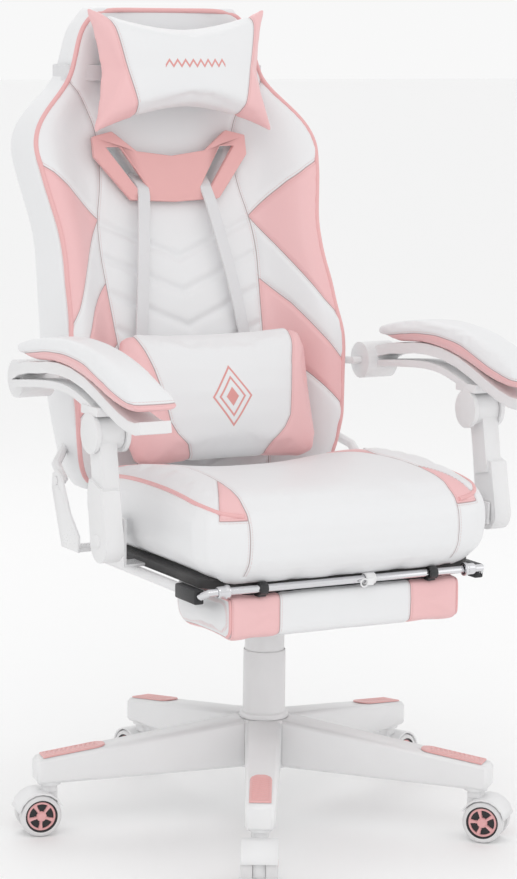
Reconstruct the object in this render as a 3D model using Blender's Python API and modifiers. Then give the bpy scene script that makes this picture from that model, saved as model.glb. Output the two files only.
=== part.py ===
"""Reclining gaming chair on a five-star base, with linked armrests and a pull-out footrest.

Run with: blender --background --python part.py
Metres, +Z up. The origin is on the floor under the gas lift's axis, and the sitter faces -Y.
"""

import math

import bmesh
import bpy
from mathutils import Matrix, Vector

# ---------------------------------------------------------------- driving dimensions (metres)
GAP = 0.0003                     # clearance between pieces that touch

BASE_RADIUS = 0.335              # hub axis to caster stem
LEG_TIP = 0.357
LEG_HEADING = -118.9             # direction of the first leg, degrees from +X
HUB_RADIUS, HUB_TOP, HUB_BOTTOM = 0.046, 0.157, 0.085
LEG_TOP_TIP, LEG_BOTTOM = 0.1147, 0.0775
LEG_HALF_ROOT, LEG_HALF_TIP = 0.027, 0.021

WHEEL_RADIUS, WHEEL_WIDTH, WHEEL_INNER = 0.031, 0.017, 0.0093
CASTER_TRAIL = 0.017
AXLE_RADIUS, STEM_RADIUS = 0.0032, 0.0055
WHEEL_STEPS = 16

CYLINDER_RADIUS, CYLINDER_BOTTOM, CYLINDER_TOP = 0.025, 0.072, 0.228
PISTON_RADIUS, PISTON_BOTTOM, PISTON_TOP = 0.014, 0.156, 0.380
SLEEVE_LOWER_TOP, SLEEVE_UPPER_BOTTOM, SLEEVE_UPPER_TOP = 0.262, 0.232, 0.343

TILT_PIN_Y, TILT_PIN_Z, TILT_PIN_RADIUS = -0.035, 0.384, 0.006
HOUSING_HALF = 0.055

BOARD_HALF, BOARD_FRONT, BOARD_REAR = 0.222, -0.236, 0.155
BOARD_BOTTOM, BOARD_TOP = 0.413, 0.426
SEAT_HALF, SEAT_FRONT, SEAT_REAR, SEAT_TOP = 0.250, -0.287, 0.163, 0.545

RAIL_X, RAIL_Z, RAIL_RADIUS, ROD_RADIUS = 0.2305, 0.406, 0.0075, 0.0057
CROSS_Y, CROSS_Z = -0.2515, 0.4125
PAD_HALF, PAD_REAR, PAD_TOP, PAD_BOTTOM = 0.187, -0.084, 0.4035, 0.341

RECLINE = Vector((0.0, 0.167, 0.513))      # backrest hinge
POST = Vector((0.0, -0.128, 0.470))        # lower pivot of the arm post
LINK = Vector((0.0, 0.028, 0.155))         # both links of the armrest are this long
ARM_REAR = RECLINE + LINK                  # arm to backrest
ARM_FRONT = POST + LINK                    # arm to post
ARM_INNER, ARM_OUTER = 0.288, 0.336
BOSS_RADIUS, BARREL_RADIUS = 0.029, 0.0240

BACK_BOTTOM, BACK_TOP = 0.488, 1.218
TUBE_RADIUS = 0.0075
PLATE_X = 0.2670                           # inner face of the hinge plates

WHITE_LEATHER = (0.86, 0.86, 0.87)
PINK_LEATHER = (0.83, 0.43, 0.43)
WHITE_PLASTIC = (0.84, 0.84, 0.84)
PINK_PLASTIC = (0.78, 0.38, 0.37)
BLACK_PLASTIC = (0.015, 0.015, 0.017)
STEEL = (0.55, 0.55, 0.56)


# ---------------------------------------------------------------- tools
def clear_scene():
    for item in list(bpy.data.objects):
        bpy.data.objects.remove(item, do_unlink=True)


def new_collection(name):
    collection = bpy.data.collections.new(name)
    bpy.context.scene.collection.children.link(collection)
    return collection


def finish(obj, colour, roughness=0.5, metallic=0.0):
    """Gives the object its own Principled material."""
    material = bpy.data.materials.new(obj.name)
    material.use_nodes = True
    shader = material.node_tree.nodes["Principled BSDF"]
    shader.inputs["Base Color"].default_value = (*colour, 1.0)
    shader.inputs["Roughness"].default_value = roughness
    shader.inputs["Metallic"].default_value = metallic
    obj.data.materials.clear()
    obj.data.materials.append(material)
    return obj


def from_bmesh(name, mesh_data, smooth=False):
    mesh = bpy.data.meshes.new(name)
    bmesh.ops.recalc_face_normals(mesh_data, faces=mesh_data.faces)
    mesh_data.to_mesh(mesh)
    mesh_data.free()
    if smooth:
        mesh.shade_smooth()
        mesh.set_sharp_from_angle(angle=math.radians(35))
    obj = bpy.data.objects.new(name, mesh)
    PARTS.objects.link(obj)
    return obj


def box(name, low, high):
    """A block between two corners, with its origin at its centre."""
    data = bmesh.new()
    bmesh.ops.create_cube(data, size=1.0)
    size = Vector(high) - Vector(low)
    bmesh.ops.scale(data, vec=size, verts=data.verts)
    obj = from_bmesh(name, data)
    obj.matrix_world = Matrix.Translation((Vector(low) + Vector(high)) / 2)
    return obj


def cylinder(name, start, end, radius, steps=24):
    """A round bar from start to end."""
    start, end = Vector(start), Vector(end)
    data = bmesh.new()
    bmesh.ops.create_cone(data, cap_ends=True, segments=steps, radius1=radius, radius2=radius,
                          depth=(end - start).length)
    obj = from_bmesh(name, data, smooth=True)
    obj.matrix_world = Matrix.Translation((start + end) / 2) @ \
        Vector((0, 0, 1)).rotation_difference(end - start).to_matrix().to_4x4()
    return obj


def turned(name, profile, steps=32, closed=False):
    """A profile of (radius, height) points, top to bottom, turned about Z by a Screw modifier."""
    data = bmesh.new()
    points = [data.verts.new((radius, 0.0, height)) for radius, height in profile]
    pairs = list(zip(points, points[1:]))
    if closed:
        pairs.append((points[-1], points[0]))
    for first, second in pairs:
        data.edges.new((first, second))
    mesh = bpy.data.meshes.new(name)
    data.to_mesh(mesh)
    data.free()
    obj = bpy.data.objects.new(name, mesh)
    PARTS.objects.link(obj)
    screw = obj.modifiers.new("Turn", "SCREW")
    screw.steps = screw.render_steps = steps
    screw.use_merge_vertices = True
    screw.merge_threshold = 0.0001
    screw.use_smooth_shade = True
    return obj


def as_mesh(obj):
    """Swaps a curve, or an object with modifiers, for its evaluated mesh, welded."""
    bpy.context.view_layer.update()
    graph = bpy.context.evaluated_depsgraph_get()
    mesh = bpy.data.meshes.new_from_object(obj.evaluated_get(graph))
    data = bmesh.new()
    data.from_mesh(mesh)
    bmesh.ops.remove_doubles(data, verts=data.verts, dist=0.00001)
    data.to_mesh(mesh)
    data.free()
    name, place = obj.name, obj.matrix_world.copy()
    bpy.data.objects.remove(obj, do_unlink=True)
    solid = bpy.data.objects.new(name, mesh)
    PARTS.objects.link(solid)
    solid.matrix_world = place
    return solid


def tube(name, points, radius, sides=2):
    """A round bar along straight stretches between points, with flat ends."""
    curve = bpy.data.curves.new(name, "CURVE")
    curve.dimensions = "3D"
    curve.bevel_depth = radius
    curve.bevel_resolution = sides
    curve.use_fill_caps = True
    spline = curve.splines.new("POLY")
    spline.points.add(len(points) - 1)
    for point, place in zip(spline.points, points):
        point.co = (*place, 1.0)
    obj = bpy.data.objects.new(name, curve)
    PARTS.objects.link(obj)
    return as_mesh(obj)


def plate(name, outline, thickness, place=Matrix()):
    """A flat outline in local XY, thickened evenly to both sides."""
    curve = bpy.data.curves.new(name, "CURVE")
    curve.dimensions = "2D"
    curve.fill_mode = "BOTH"
    curve.extrude = thickness / 2
    spline = curve.splines.new("POLY")
    spline.points.add(len(outline) - 1)
    for point, corner in zip(spline.points, outline):
        point.co = (corner[0], corner[1], 0.0, 1.0)
    spline.use_cyclic_u = True
    obj = bpy.data.objects.new(name, curve)
    PARTS.objects.link(obj)
    obj.matrix_world = place
    return as_mesh(obj)


def side_plate(name, outline, x_low, x_high):
    """A plate whose outline lies in the YZ plane, between two values of x."""
    turn = Matrix(((0, 0, 1, 0), (1, 0, 0, 0), (0, 1, 0, 0), (0, 0, 0, 1)))
    place = Matrix.Translation(((x_low + x_high) / 2, 0, 0)) @ turn
    return plate(name, outline, abs(x_high - x_low), place)


def combine(obj, tools, operation="UNION"):
    """Adds Boolean modifiers and moves their tools to the cutters' collection."""
    for tool in tools:
        modifier = obj.modifiers.new(operation.title(), "BOOLEAN")
        modifier.operation = operation
        modifier.object = tool
        for owner in list(tool.users_collection):
            owner.objects.unlink(tool)
        CUTTERS.objects.link(tool)
        tool.hide_render = True
        tool.display_type = "WIRE"
    return obj


def soft_block(name, cuts, shape, centre, levels=1):
    """A closed cushion: a cut-up cube whose points shape(u, v, w) places, then subdivided."""
    data = bmesh.new()
    bmesh.ops.create_cube(data, size=2.0)
    for axis, count in enumerate(cuts):
        along = [edge for edge in data.edges
                 if abs((edge.verts[0].co - edge.verts[1].co)[axis]) > 1.9]
        bmesh.ops.subdivide_edges(data, edges=along, cuts=count, use_grid_fill=True)
    centre = Vector(centre)
    for vertex in data.verts:
        vertex.co = Vector(shape(*vertex.co)) - centre
    obj = from_bmesh(name, data, smooth=True)
    obj.location = centre
    subdivision = obj.modifiers.new("Soften", "SUBSURF")
    subdivision.levels = subdivision.render_levels = levels
    return obj


def table(rows, at):
    """Straight-line reading of rows of (position, value)."""
    if at <= rows[0][0]:
        return rows[0][1]
    for (start, low), (end, high) in zip(rows, rows[1:]):
        if at <= end:
            return low + (high - low) * (at - start) / (end - start)
    return rows[-1][1]


def smooth_step(low, high, value):
    share = min(max((value - low) / (high - low), 0.0), 1.0)
    return share * share * (3 - 2 * share)


def band(centreline, half, count=13):
    """The outline of a bar that follows a smooth line through the given (y, z) points."""
    knots = [Vector(point) for point in centreline]
    knots = [2 * knots[0] - knots[1]] + knots + [2 * knots[-1] - knots[-2]]
    spans = len(knots) - 3
    line = []
    for index in range(count + 1):
        place = index / count * spans
        span = min(int(place), spans - 1)
        t = place - span
        before, start, end, after = knots[span:span + 4]
        line.append(0.5 * (2 * start + (end - before) * t
                           + (2 * before - 5 * start + 4 * end - after) * t ** 2
                           + (3 * start - before - 3 * end + after) * t ** 3))
    upper, lower = [], []
    for index, point in enumerate(line):
        along = line[min(index + 1, count)] - line[max(index - 1, 0)]
        across = Vector((-along.y, along.x)).normalized() * half
        upper.append(point + across)
        lower.append(point - across)
    return upper + lower[::-1]


def rounded(half_x, low_y, high_y, corner, steps=5):
    """A rectangle with round corners, symmetric about x = 0, as (x, y) points."""
    outline = []
    for turn, (x, y) in enumerate(((half_x - corner, high_y - corner),
                                   (-half_x + corner, high_y - corner),
                                   (-half_x + corner, low_y + corner),
                                   (half_x - corner, low_y + corner))):
        for step in range(steps + 1):
            angle = math.pi / 2 * (turn + step / steps)
            outline.append((x + corner * math.cos(angle), y + corner * math.sin(angle)))
    return outline


def pivot(name, place, parent=None):
    """An empty on a joint's axis, which the pieces that move there hang from."""
    empty = bpy.data.objects.new(name, None)
    empty.location = place
    empty.empty_display_size = 0.03
    PARTS.objects.link(empty)
    if parent:
        hang(parent, [empty])
    return empty


def hang(parent, children):
    """Parents the children without moving them."""
    bpy.context.view_layer.update()
    for child in children:
        child.parent = parent
        child.matrix_parent_inverse = parent.matrix_world.inverted()


def both_sides(build):
    """Runs build for the chair's left (-X) and right (+X) sides as seen from the front."""
    return [build(name, side) for name, side in (("left", -1), ("right", 1))]


# ---------------------------------------------------------------- base and casters
def leg_top(radius):
    return HUB_TOP + (LEG_TOP_TIP - HUB_TOP) * (radius - HUB_RADIUS) / (LEG_TIP - HUB_RADIUS)


def leg(index, angle):
    def shape(u, v, w):
        radius = 0.034 + (LEG_TIP - 0.034) * (u + 1) / 2
        half = LEG_HALF_ROOT + (LEG_HALF_TIP - LEG_HALF_ROOT) * (u + 1) / 2
        low = LEG_BOTTOM + 0.008 * (1 - (u + 1) / 2)
        return radius, v * half, leg_top(radius) if w > 0 else low
    arm = soft_block(f"leg_{index}", (1, 0, 0), shape, (0, 0, 0), levels=0)
    bevel = arm.modifiers.new("Edges", "BEVEL")
    bevel.width = 0.005
    bevel.segments = 1
    arm.rotation_euler.z = angle
    return arm


def star_base():
    base = turned("star_base", [(HUB_RADIUS - 0.004, HUB_TOP), (HUB_RADIUS, HUB_TOP - 0.005),
                                (HUB_RADIUS, HUB_BOTTOM), (CYLINDER_RADIUS + GAP, HUB_BOTTOM),
                                (CYLINDER_RADIUS + GAP, HUB_TOP)], steps=32, closed=True)
    base = as_mesh(base)
    legs, rings, sockets = [], [], []
    for index, angle in enumerate(LEG_ANGLES, 1):
        stem = Vector((BASE_RADIUS * math.cos(angle), BASE_RADIUS * math.sin(angle), 0))
        legs.append(leg(index, angle))
        rings.append(cylinder(f"socket_ring_{index}", stem + Vector((0, 0, 0.0745)),
                              stem + Vector((0, 0, 0.090)), 0.0175, 20))
        sockets.append(cylinder(f"socket_{index}", stem + Vector((0, 0, 0.060)),
                                stem + Vector((0, 0, 0.1045)), STEM_RADIUS + GAP, steps=12))
    combine(base, legs + rings)
    bore = cylinder("hub_bore", (0, 0, 0.06), (0, 0, 0.2), CYLINDER_RADIUS + GAP, steps=32)
    combine(base, [bore] + sockets, "DIFFERENCE")
    return finish(base, WHITE_PLASTIC, 0.35)


def foot_pads():
    """Ribbed grips let on to the top of each leg's outer end."""
    inner, outer, half = 0.249, 0.347, 0.016
    slope = math.atan2(HUB_TOP - LEG_TOP_TIP, LEG_TIP - HUB_RADIUS)
    middle = (inner + outer) / 2
    arc = [(inner + half - middle + half * math.cos(turn), half * math.sin(turn))
           for turn in (math.pi / 2 + math.pi * step / 8 for step in range(9))]
    outline = [(outer - middle, -half), (outer - middle, half)] + arc
    for index, angle in enumerate(LEG_ANGLES, 1):
        place = Matrix.Rotation(angle, 4, "Z") @ Matrix.Translation((middle, 0, leg_top(middle))) @ \
            Matrix.Rotation(slope, 4, "Y") @ Matrix.Translation((0, 0, 0.0010 + GAP))
        finish(plate(f"foot_pad_{index}", outline, 0.0020, place), PINK_PLASTIC, 0.5)


def caster(index, angle):
    stem = Vector((BASE_RADIUS * math.cos(angle), BASE_RADIUS * math.sin(angle), 0))
    place = Matrix.Translation(stem) @ Matrix.Rotation(angle, 4, "Z")
    axle = Vector((CASTER_TRAIL, 0, WHEEL_RADIUS))
    web_half, hood_half = WHEEL_INNER - 0.0005, 0.0260
    hood_inner, hood_outer = WHEEL_RADIUS + 0.0020, WHEEL_RADIUS + 0.0045

    def arc(radius, start, end, steps=7):
        return [(axle.x + radius * math.cos(math.radians(start + (end - start) * step / steps)),
                 axle.z + radius * math.sin(math.radians(start + (end - start) * step / steps)))
                for step in range(steps + 1)]

    upright = Matrix(((1, 0, 0, 0), (0, 0, -1, 0), (0, 1, 0, 0), (0, 0, 0, 1)))
    web = cylinder(f"caster_web_{index}", axle - Vector((0, web_half, 0)),
                   axle + Vector((0, web_half, 0)), 0.0245, steps=16)
    neck = plate(f"caster_neck_{index}", [(axle.x, axle.z)] + arc(hood_outer - 0.001, 25, 150),
                 2 * web_half - 0.001, upright)
    hood = plate(f"caster_hood_{index}", arc(hood_outer, 12, 155) + arc(hood_inner, 155, 12),
                 2 * hood_half, upright)
    boss = cylinder(f"caster_boss_{index}", (0, 0, 0.064), (0, 0, 0.0738), 0.0125, 16)
    pin = cylinder(f"caster_pin_{index}", (0, 0, 0.070), (0, 0, 0.1035), STEM_RADIUS, 12)
    stub = cylinder(f"caster_axle_{index}", axle - Vector((0, 0.0215, 0)),
                    axle + Vector((0, 0.0215, 0)), AXLE_RADIUS, 12)
    fork = box(f"caster_fork_{index}", (-0.0110, -0.0083, 0.045), (0.0110, 0.0083, 0.070))
    combine(fork, [web, neck, hood, boss, pin, stub])
    for piece in (fork, web, neck, hood, boss, pin, stub):
        piece.matrix_world = place @ piece.matrix_world
    finish(fork, WHITE_PLASTIC, 0.35)
    swivel = pivot(f"caster_{index}_swivel", stem)
    roll = pivot(f"caster_{index}_roll", place @ axle, swivel)
    hang(swivel, [fork])
    rim = WHEEL_RADIUS / math.cos(math.pi / WHEEL_STEPS)
    bore = AXLE_RADIUS + 0.0002
    profile = [(0, WHEEL_WIDTH - 0.002), (0.024, WHEEL_WIDTH - 0.002), (0.0245, WHEEL_WIDTH),
               (rim - 0.0025, WHEEL_WIDTH), (rim, WHEEL_WIDTH - 0.0025), (rim, 0.0), (bore, 0.0),
               (bore, 0.0130), (0, 0.0130)]
    for label, side in (("a", 1), ("b", -1)):
        wheel = turned(f"wheel_{index}{label}", profile, steps=WHEEL_STEPS)
        wheel.matrix_world = place @ Matrix.Translation(axle + Vector((0, side * WHEEL_INNER, 0))) @ \
            Matrix.Rotation(-side * math.pi / 2, 4, "X") @ \
            Matrix.Rotation(math.pi / WHEEL_STEPS, 4, "Z")
        hang(roll, [finish(wheel, WHITE_PLASTIC, 0.45)])


# ---------------------------------------------------------------- gas lift and tilt mechanism
def gas_lift():
    lift = pivot("lift", (0, 0, CYLINDER_TOP))
    bore = PISTON_RADIUS + 0.0004
    outer = turned("gas_cylinder", [
        (0, CYLINDER_TOP), (CYLINDER_RADIUS - 0.001, CYLINDER_TOP),
        (CYLINDER_RADIUS, CYLINDER_TOP - 0.001), (CYLINDER_RADIUS, CYLINDER_BOTTOM),
        (0, CYLINDER_BOTTOM)], steps=28)
    well = cylinder("cylinder_well", (0, 0, CYLINDER_BOTTOM + 0.006), (0, 0, 0.3), bore, steps=24)
    finish(combine(outer, [well], "DIFFERENCE"), BLACK_PLASTIC, 0.35, 0.6)
    piston = cylinder("gas_piston", (0, 0, PISTON_BOTTOM), (0, 0, PISTON_TOP), PISTON_RADIUS, 32)
    finish(piston, STEEL, 0.15, 1.0)
    bottom = HUB_TOP + 0.0005
    sleeve_inner = 0.0306
    lower = turned("sleeve_lower", [
        (0.0315, SLEEVE_LOWER_TOP), (0.0320, SLEEVE_LOWER_TOP - 0.001), (0.0322, bottom + 0.009),
        (0.0368, bottom + 0.005), (0.0370, bottom), (sleeve_inner, bottom),
        (sleeve_inner, SLEEVE_LOWER_TOP)], steps=28, closed=True)
    finish(lower, WHITE_PLASTIC, 0.4)
    inner = 0.0265
    upper = turned("sleeve_upper", [
        (0.0290, SLEEVE_UPPER_TOP), (0.0300, SLEEVE_UPPER_TOP - 0.001), (0.0300, SLEEVE_UPPER_BOTTOM),
        (inner, SLEEVE_UPPER_BOTTOM), (inner, SLEEVE_UPPER_TOP - 0.004),
        (PISTON_RADIUS + GAP, SLEEVE_UPPER_TOP - 0.004), (PISTON_RADIUS + GAP, SLEEVE_UPPER_TOP)],
        steps=28, closed=True)
    finish(upper, WHITE_PLASTIC, 0.4)
    hang(lift, [piston, upper])
    return lift


def mechanism(swivel):
    low, rear = SLEEVE_UPPER_TOP + 0.003, 0.088
    housing = side_plate("tilt_housing", [
        (-HOUSING_HALF, low), (rear - 0.012, low), (rear, low + 0.008), (rear, 0.373),
        (0.0, 0.390), (-HOUSING_HALF, 0.390)], -HOUSING_HALF, HOUSING_HALF)
    pin = cylinder("tilt_pin", (-0.064, TILT_PIN_Y, TILT_PIN_Z), (0.064, TILT_PIN_Y, TILT_PIN_Z),
                   TILT_PIN_RADIUS)
    socket = cylinder("taper_socket", (0, 0, 0.33), (0, 0, PISTON_TOP + GAP), PISTON_RADIUS + GAP, 32)
    combine(combine(housing, [pin]), [socket], "DIFFERENCE")
    finish(housing, BLACK_PLASTIC, 0.4, 0.3)

    knob_centre = Vector((0, -HOUSING_HALF - GAP, 0.367))
    knob_pivot = pivot("tension_knob_axis", knob_centre, swivel)
    knob = turned("tension_knob", [(0, 0.018), (0.014, 0.018), (0.0175, 0.015), (0.0180, 0.006),
                                   (0.010, 0.004), (0.010, 0.0), (0, 0.0)], steps=24)
    knob.matrix_world = Matrix.Translation(knob_centre) @ Matrix.Rotation(math.pi / 2, 4, "X")
    hang(knob_pivot, [finish(knob, BLACK_PLASTIC, 0.5)])

    start = Vector((HOUSING_HALF + 0.0015, 0.020, 0.361))
    lever_pivot = pivot("height_lever_axis", start, swivel)
    lever = tube("height_lever", [start, (0.090, 0.018, 0.360), (0.175, 0.008, 0.353),
                                  (0.190, 0.006, 0.352)], 0.004)
    paddle = box("lever_paddle", (0.180, -0.008, 0.3475), (0.240, 0.016, 0.3555))
    bevel = paddle.modifiers.new("Edges", "BEVEL")
    bevel.width = 0.0030
    bevel.segments = 2
    combine(lever, [paddle])
    hang(lever_pivot, [finish(lever, BLACK_PLASTIC, 0.45)])
    hang(swivel, [housing])


# ---------------------------------------------------------------- seat
def seat(tilt):
    top = BOARD_BOTTOM - GAP
    seat_plate = box("seat_plate", (-0.080, -0.072, top - 0.0032), (0.080, 0.100, top))
    ears = both_sides(lambda name, side: box(
        f"plate_ear_{name}", (side * 0.0585 - 0.002, TILT_PIN_Y - 0.015, TILT_PIN_Z - 0.011),
        (side * 0.0585 + 0.002, TILT_PIN_Y + 0.015, top - 0.001)))
    hole = cylinder("ear_hole", (-0.08, TILT_PIN_Y, TILT_PIN_Z), (0.08, TILT_PIN_Y, TILT_PIN_Z),
                    TILT_PIN_RADIUS + GAP)
    combine(combine(seat_plate, ears), [hole], "DIFFERENCE")
    finish(seat_plate, BLACK_PLASTIC, 0.4, 0.5)

    board = plate("seat_board", rounded(BOARD_HALF, BOARD_FRONT, BOARD_REAR, 0.030),
                  BOARD_TOP - BOARD_BOTTOM,
                  Matrix.Translation((0, 0, (BOARD_TOP + BOARD_BOTTOM) / 2)))
    finish(board, BLACK_PLASTIC, 0.8)

    low = BOARD_TOP + GAP
    middle_y = (SEAT_FRONT + SEAT_REAR) / 2
    depth = (SEAT_REAR - SEAT_FRONT) / 2

    def shape(u, v, w):
        front = smooth_step(0.2, -1.0, v)
        x = u * (SEAT_HALF - 0.006 * (1 - w) / 2 + 0.002 * (1 - w * w))
        y = middle_y + v * depth
        y += 0.022 * smooth_step(0.55, 1.0, abs(u)) * smooth_step(0.0, -1.0, v)
        y -= 0.004 * (1 - w * w) * front
        bolster = 0.020 * smooth_step(0.45, 0.85, abs(u)) * smooth_step(1.0, 0.2, -v)
        slump = 0.030 * smooth_step(0.1, 1.0, v) + 0.012 * smooth_step(-0.55, -1.0, v)
        top_z = SEAT_TOP + bolster - slump
        return x, y, low + (top_z - low) * (w + 1) / 2
    cushion = soft_block("seat_cushion", (5, 5, 1), shape, (0, middle_y, (low + SEAT_TOP) / 2))
    finish(cushion, WHITE_LEATHER, 0.45)
    hang(tilt, [seat_plate, board, cushion])


def footrest(tilt):
    slide = pivot("footrest_slide", (0, CROSS_Y, RAIL_Z), tilt)
    rail_front, rail_rear, block_rear = -0.200, 0.100, -0.172

    def rail(name, side):
        x = side * RAIL_X
        guide = cylinder(f"footrest_rail_{name}", (x, block_rear + GAP, RAIL_Z),
                         (x, rail_rear, RAIL_Z), RAIL_RADIUS)
        bore = cylinder(f"rail_bore_{name}", (x, -0.3, RAIL_Z), (x, 0.2, RAIL_Z), ROD_RADIUS + GAP)
        combine(guide, [bore], "DIFFERENCE")
        block = box(f"rail_block_{name}", (-0.0075, BOARD_FRONT, RAIL_Z - 0.0125),
                    (0.0075, block_rear, RAIL_Z + 0.0085))
        block.location.x = side * (RAIL_X + 0.001)
        bevel = block.modifiers.new("Edges", "BEVEL")
        bevel.width = 0.0025
        bevel.segments = 2
        way = cylinder(f"block_bore_{name}", (x, -0.3, RAIL_Z), (x, 0.0, RAIL_Z), ROD_RADIUS + GAP)
        combine(block, [way], "DIFFERENCE")
        hang(tilt, [finish(guide, WHITE_PLASTIC, 0.35, 0.2), finish(block, BLACK_PLASTIC, 0.5)])
    both_sides(rail)

    half = [(RAIL_X, rail_rear - 0.012, RAIL_Z), (RAIL_X, BOARD_FRONT - 0.004, RAIL_Z),
            (RAIL_X - 0.006, CROSS_Y, CROSS_Z)]
    route = half + [(-x, y, z) for x, y, z in half[::-1]]
    frame = finish(tube("footrest_frame", route, ROD_RADIUS, sides=3), STEEL, 0.15, 1.0)
    hang(slide, [frame])

    def nut(name, side):
        bore = ROD_RADIUS + GAP
        piece = turned(f"rod_nut_{name}", [(0.0075, 0.009), (0.0085, 0.007), (0.0085, -0.003),
                                           (0.0100, -0.004), (0.0100, -0.009), (bore, -0.009),
                                           (bore, 0.009)], steps=16, closed=True)
        piece.matrix_world = Matrix.Translation((side * 0.203, CROSS_Y, CROSS_Z)) @ \
            Matrix.Rotation(side * math.pi / 2, 4, "Y")
        hang(slide, [finish(piece, STEEL, 0.2, 1.0)])
    both_sides(nut)

    flip = pivot("footrest_flip", (0, CROSS_Y, CROSS_Z), slide)
    plate_top = PAD_TOP - 0.0001
    pad_plate = box("pad_plate", (-0.165, -0.238, plate_top - 0.003), (0.165, -0.105, plate_top))
    eyes = []
    for side in (-1, 1):
        x = side * 0.140
        eyes.append(side_plate(f"pad_eye_{side}", [
            (CROSS_Y + 0.0095 * math.cos(turn), CROSS_Z + 0.0095 * math.sin(turn))
            for turn in (math.pi * 2 * step / 14 for step in range(14))], x - 0.006, x + 0.006))
        eyes.append(box(f"pad_tongue_{side}", (x - 0.006, CROSS_Y, plate_top - 0.003),
                        (x + 0.006, -0.220, plate_top - 0.0001)))
    way = cylinder("eye_bore", (-0.2, CROSS_Y, CROSS_Z), (0.2, CROSS_Y, CROSS_Z), ROD_RADIUS + GAP)
    combine(combine(pad_plate, eyes), [way], "DIFFERENCE")
    finish(pad_plate, BLACK_PLASTIC, 0.5, 0.4)

    front = CROSS_Y + 0.0035
    pad_high = plate_top - 0.0036
    middle = ((front + PAD_REAR) / 2, (pad_high + PAD_BOTTOM) / 2)

    def shape(u, v, w):
        y = middle[0] + v * (PAD_REAR - front) / 2 + 0.018 * smooth_step(0.0, 1.0, v) * min(w, 0)
        z = middle[1] + w * (pad_high - PAD_BOTTOM) / 2 + 0.012 * smooth_step(0.3, 1.0, v) * (w < 0)
        return u * (PAD_HALF - 0.004 * abs(w)), y, z
    pad = soft_block("footrest_pad", (3, 2, 1), shape, (0, *middle))
    notches = [box(f"pad_notch_{side}", (side * 0.140 - 0.0075, CROSS_Y - 0.02, PAD_BOTTOM + 0.05),
                   (side * 0.140 + 0.0075, CROSS_Y + 0.0128, PAD_TOP + 0.01)) for side in (-1, 1)]
    combine(pad, notches, "DIFFERENCE")
    finish(pad, PINK_LEATHER, 0.45)

    bore = ROD_RADIUS + GAP
    clip = turned("rod_clip", [(0.0085, 0.008), (0.0088, 0.0), (0.0085, -0.008), (bore, -0.008),
                               (bore, 0.008)], steps=16, closed=True)
    clip.matrix_world = Matrix.Translation((0.034, CROSS_Y, CROSS_Z)) @ \
        Matrix.Rotation(math.pi / 2, 4, "Y")
    clip = as_mesh(clip)
    wire = [(0.0058 + 0.0013 * math.cos(turn), 0.0013 * math.sin(turn))
            for turn in (math.pi / 2 - math.pi * step / 3 for step in range(6))]
    loop = turned("clip_loop", wire, steps=12, closed=True)
    loop.matrix_world = Matrix.Translation((0.0215, CROSS_Y - 0.0092, CROSS_Z - 0.004)) @ \
        Matrix.Rotation(math.pi / 2, 4, "X")
    tab = box("clip_tab", (0.0265, CROSS_Y - 0.0105, CROSS_Z - 0.008),
              (0.036, CROSS_Y - 0.0068, CROSS_Z + 0.002))
    combine(clip, [tab, loop])
    finish(clip, WHITE_PLASTIC, 0.4)
    hang(flip, [pad_plate, pad, clip])


# ---------------------------------------------------------------- backrest
BACK_FRONT = ((0.48, 0.196), (0.60, 0.222), (0.70, 0.250), (0.80, 0.284), (0.90, 0.320),
              (1.00, 0.350), (1.10, 0.362), (1.25, 0.362))          # height, y of the centre panel
BOLSTER_RISE = ((0.48, 0.006), (0.60, 0.050), (0.735, 0.072), (0.85, 0.064), (0.99, 0.058),
                (1.10, 0.018), (1.25, 0.010))                      # height, bolster before the panel
BACK_DEPTH = ((0.48, 0.080), (0.60, 0.078), (0.80, 0.060), (1.00, 0.055), (1.25, 0.055))
BACK_HALF = ((0.48, 0.205), (0.52, 0.226), (0.60, 0.238), (0.70, 0.243), (0.78, 0.237),
             (0.86, 0.230), (0.94, 0.243), (1.00, 0.253), (1.04, 0.245), (1.08, 0.205),
             (1.11, 0.168), (1.16, 0.160), (1.21, 0.150), (1.24, 0.120))


def back_front(z, share):
    """y of the backrest's front at a height, and at a share of the half width."""
    return table(BACK_FRONT, z) - table(BOLSTER_RISE, z) * smooth_step(0.66, 0.90, share)


def slot_outline(side, grow=0.0):
    """The slanted opening that a strap passes through, as (x, z) points."""
    corners = ((0.112, 1.005), (0.088, 1.005), (0.045, 0.940), (0.064, 0.940))
    centre = Vector((sum(x for x, _ in corners) / 4, sum(z for _, z in corners) / 4))
    return [(side * (centre.x + (x - centre.x) * (1 + grow)), centre.y + (z - centre.y) * (1 + grow))
            for x, z in corners]


def facing_plate(name, outline, thickness, y, lean=0.0):
    """A plate whose outline is given as (x, z) points, facing -Y, leaning back by lean."""
    middle_z = sum(z for _, z in outline) / len(outline)
    flat = [(x, z - middle_z) for x, z in outline]
    place = Matrix.Translation((0, y, middle_z)) @ Matrix.Rotation(math.pi / 2 - lean, 4, "X")
    return plate(name, flat, thickness, place)


def frame_route():
    """The backrest's inner steel frame: an upside-down U and its arms, as unioned tubes."""
    half = [(PLATE_X - 0.0085, RECLINE.y, RECLINE.z), (PLATE_X - 0.0085, 0.195, 0.533),
            (0.205, 0.255, 0.572), (0.170, 0.290, 0.690), (0.170, 0.348, 0.885)]
    return half + [(-x, y, z) for x, y, z in half[::-1]]


def arm_stay(name, side, radius, start=0.170):
    """The bar that reaches from the inner frame out to the armrest's rear pin."""
    inner = Vector((0.170, 0.283, ARM_REAR.z))
    outer = Vector((0.262, ARM_REAR.y, ARM_REAR.z))
    inner += (outer - inner) * (start - inner.x) / (outer.x - inner.x)
    mirror = Vector((side, 1, 1))
    return cylinder(name, inner * mirror, outer * mirror, radius, 12)


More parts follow.
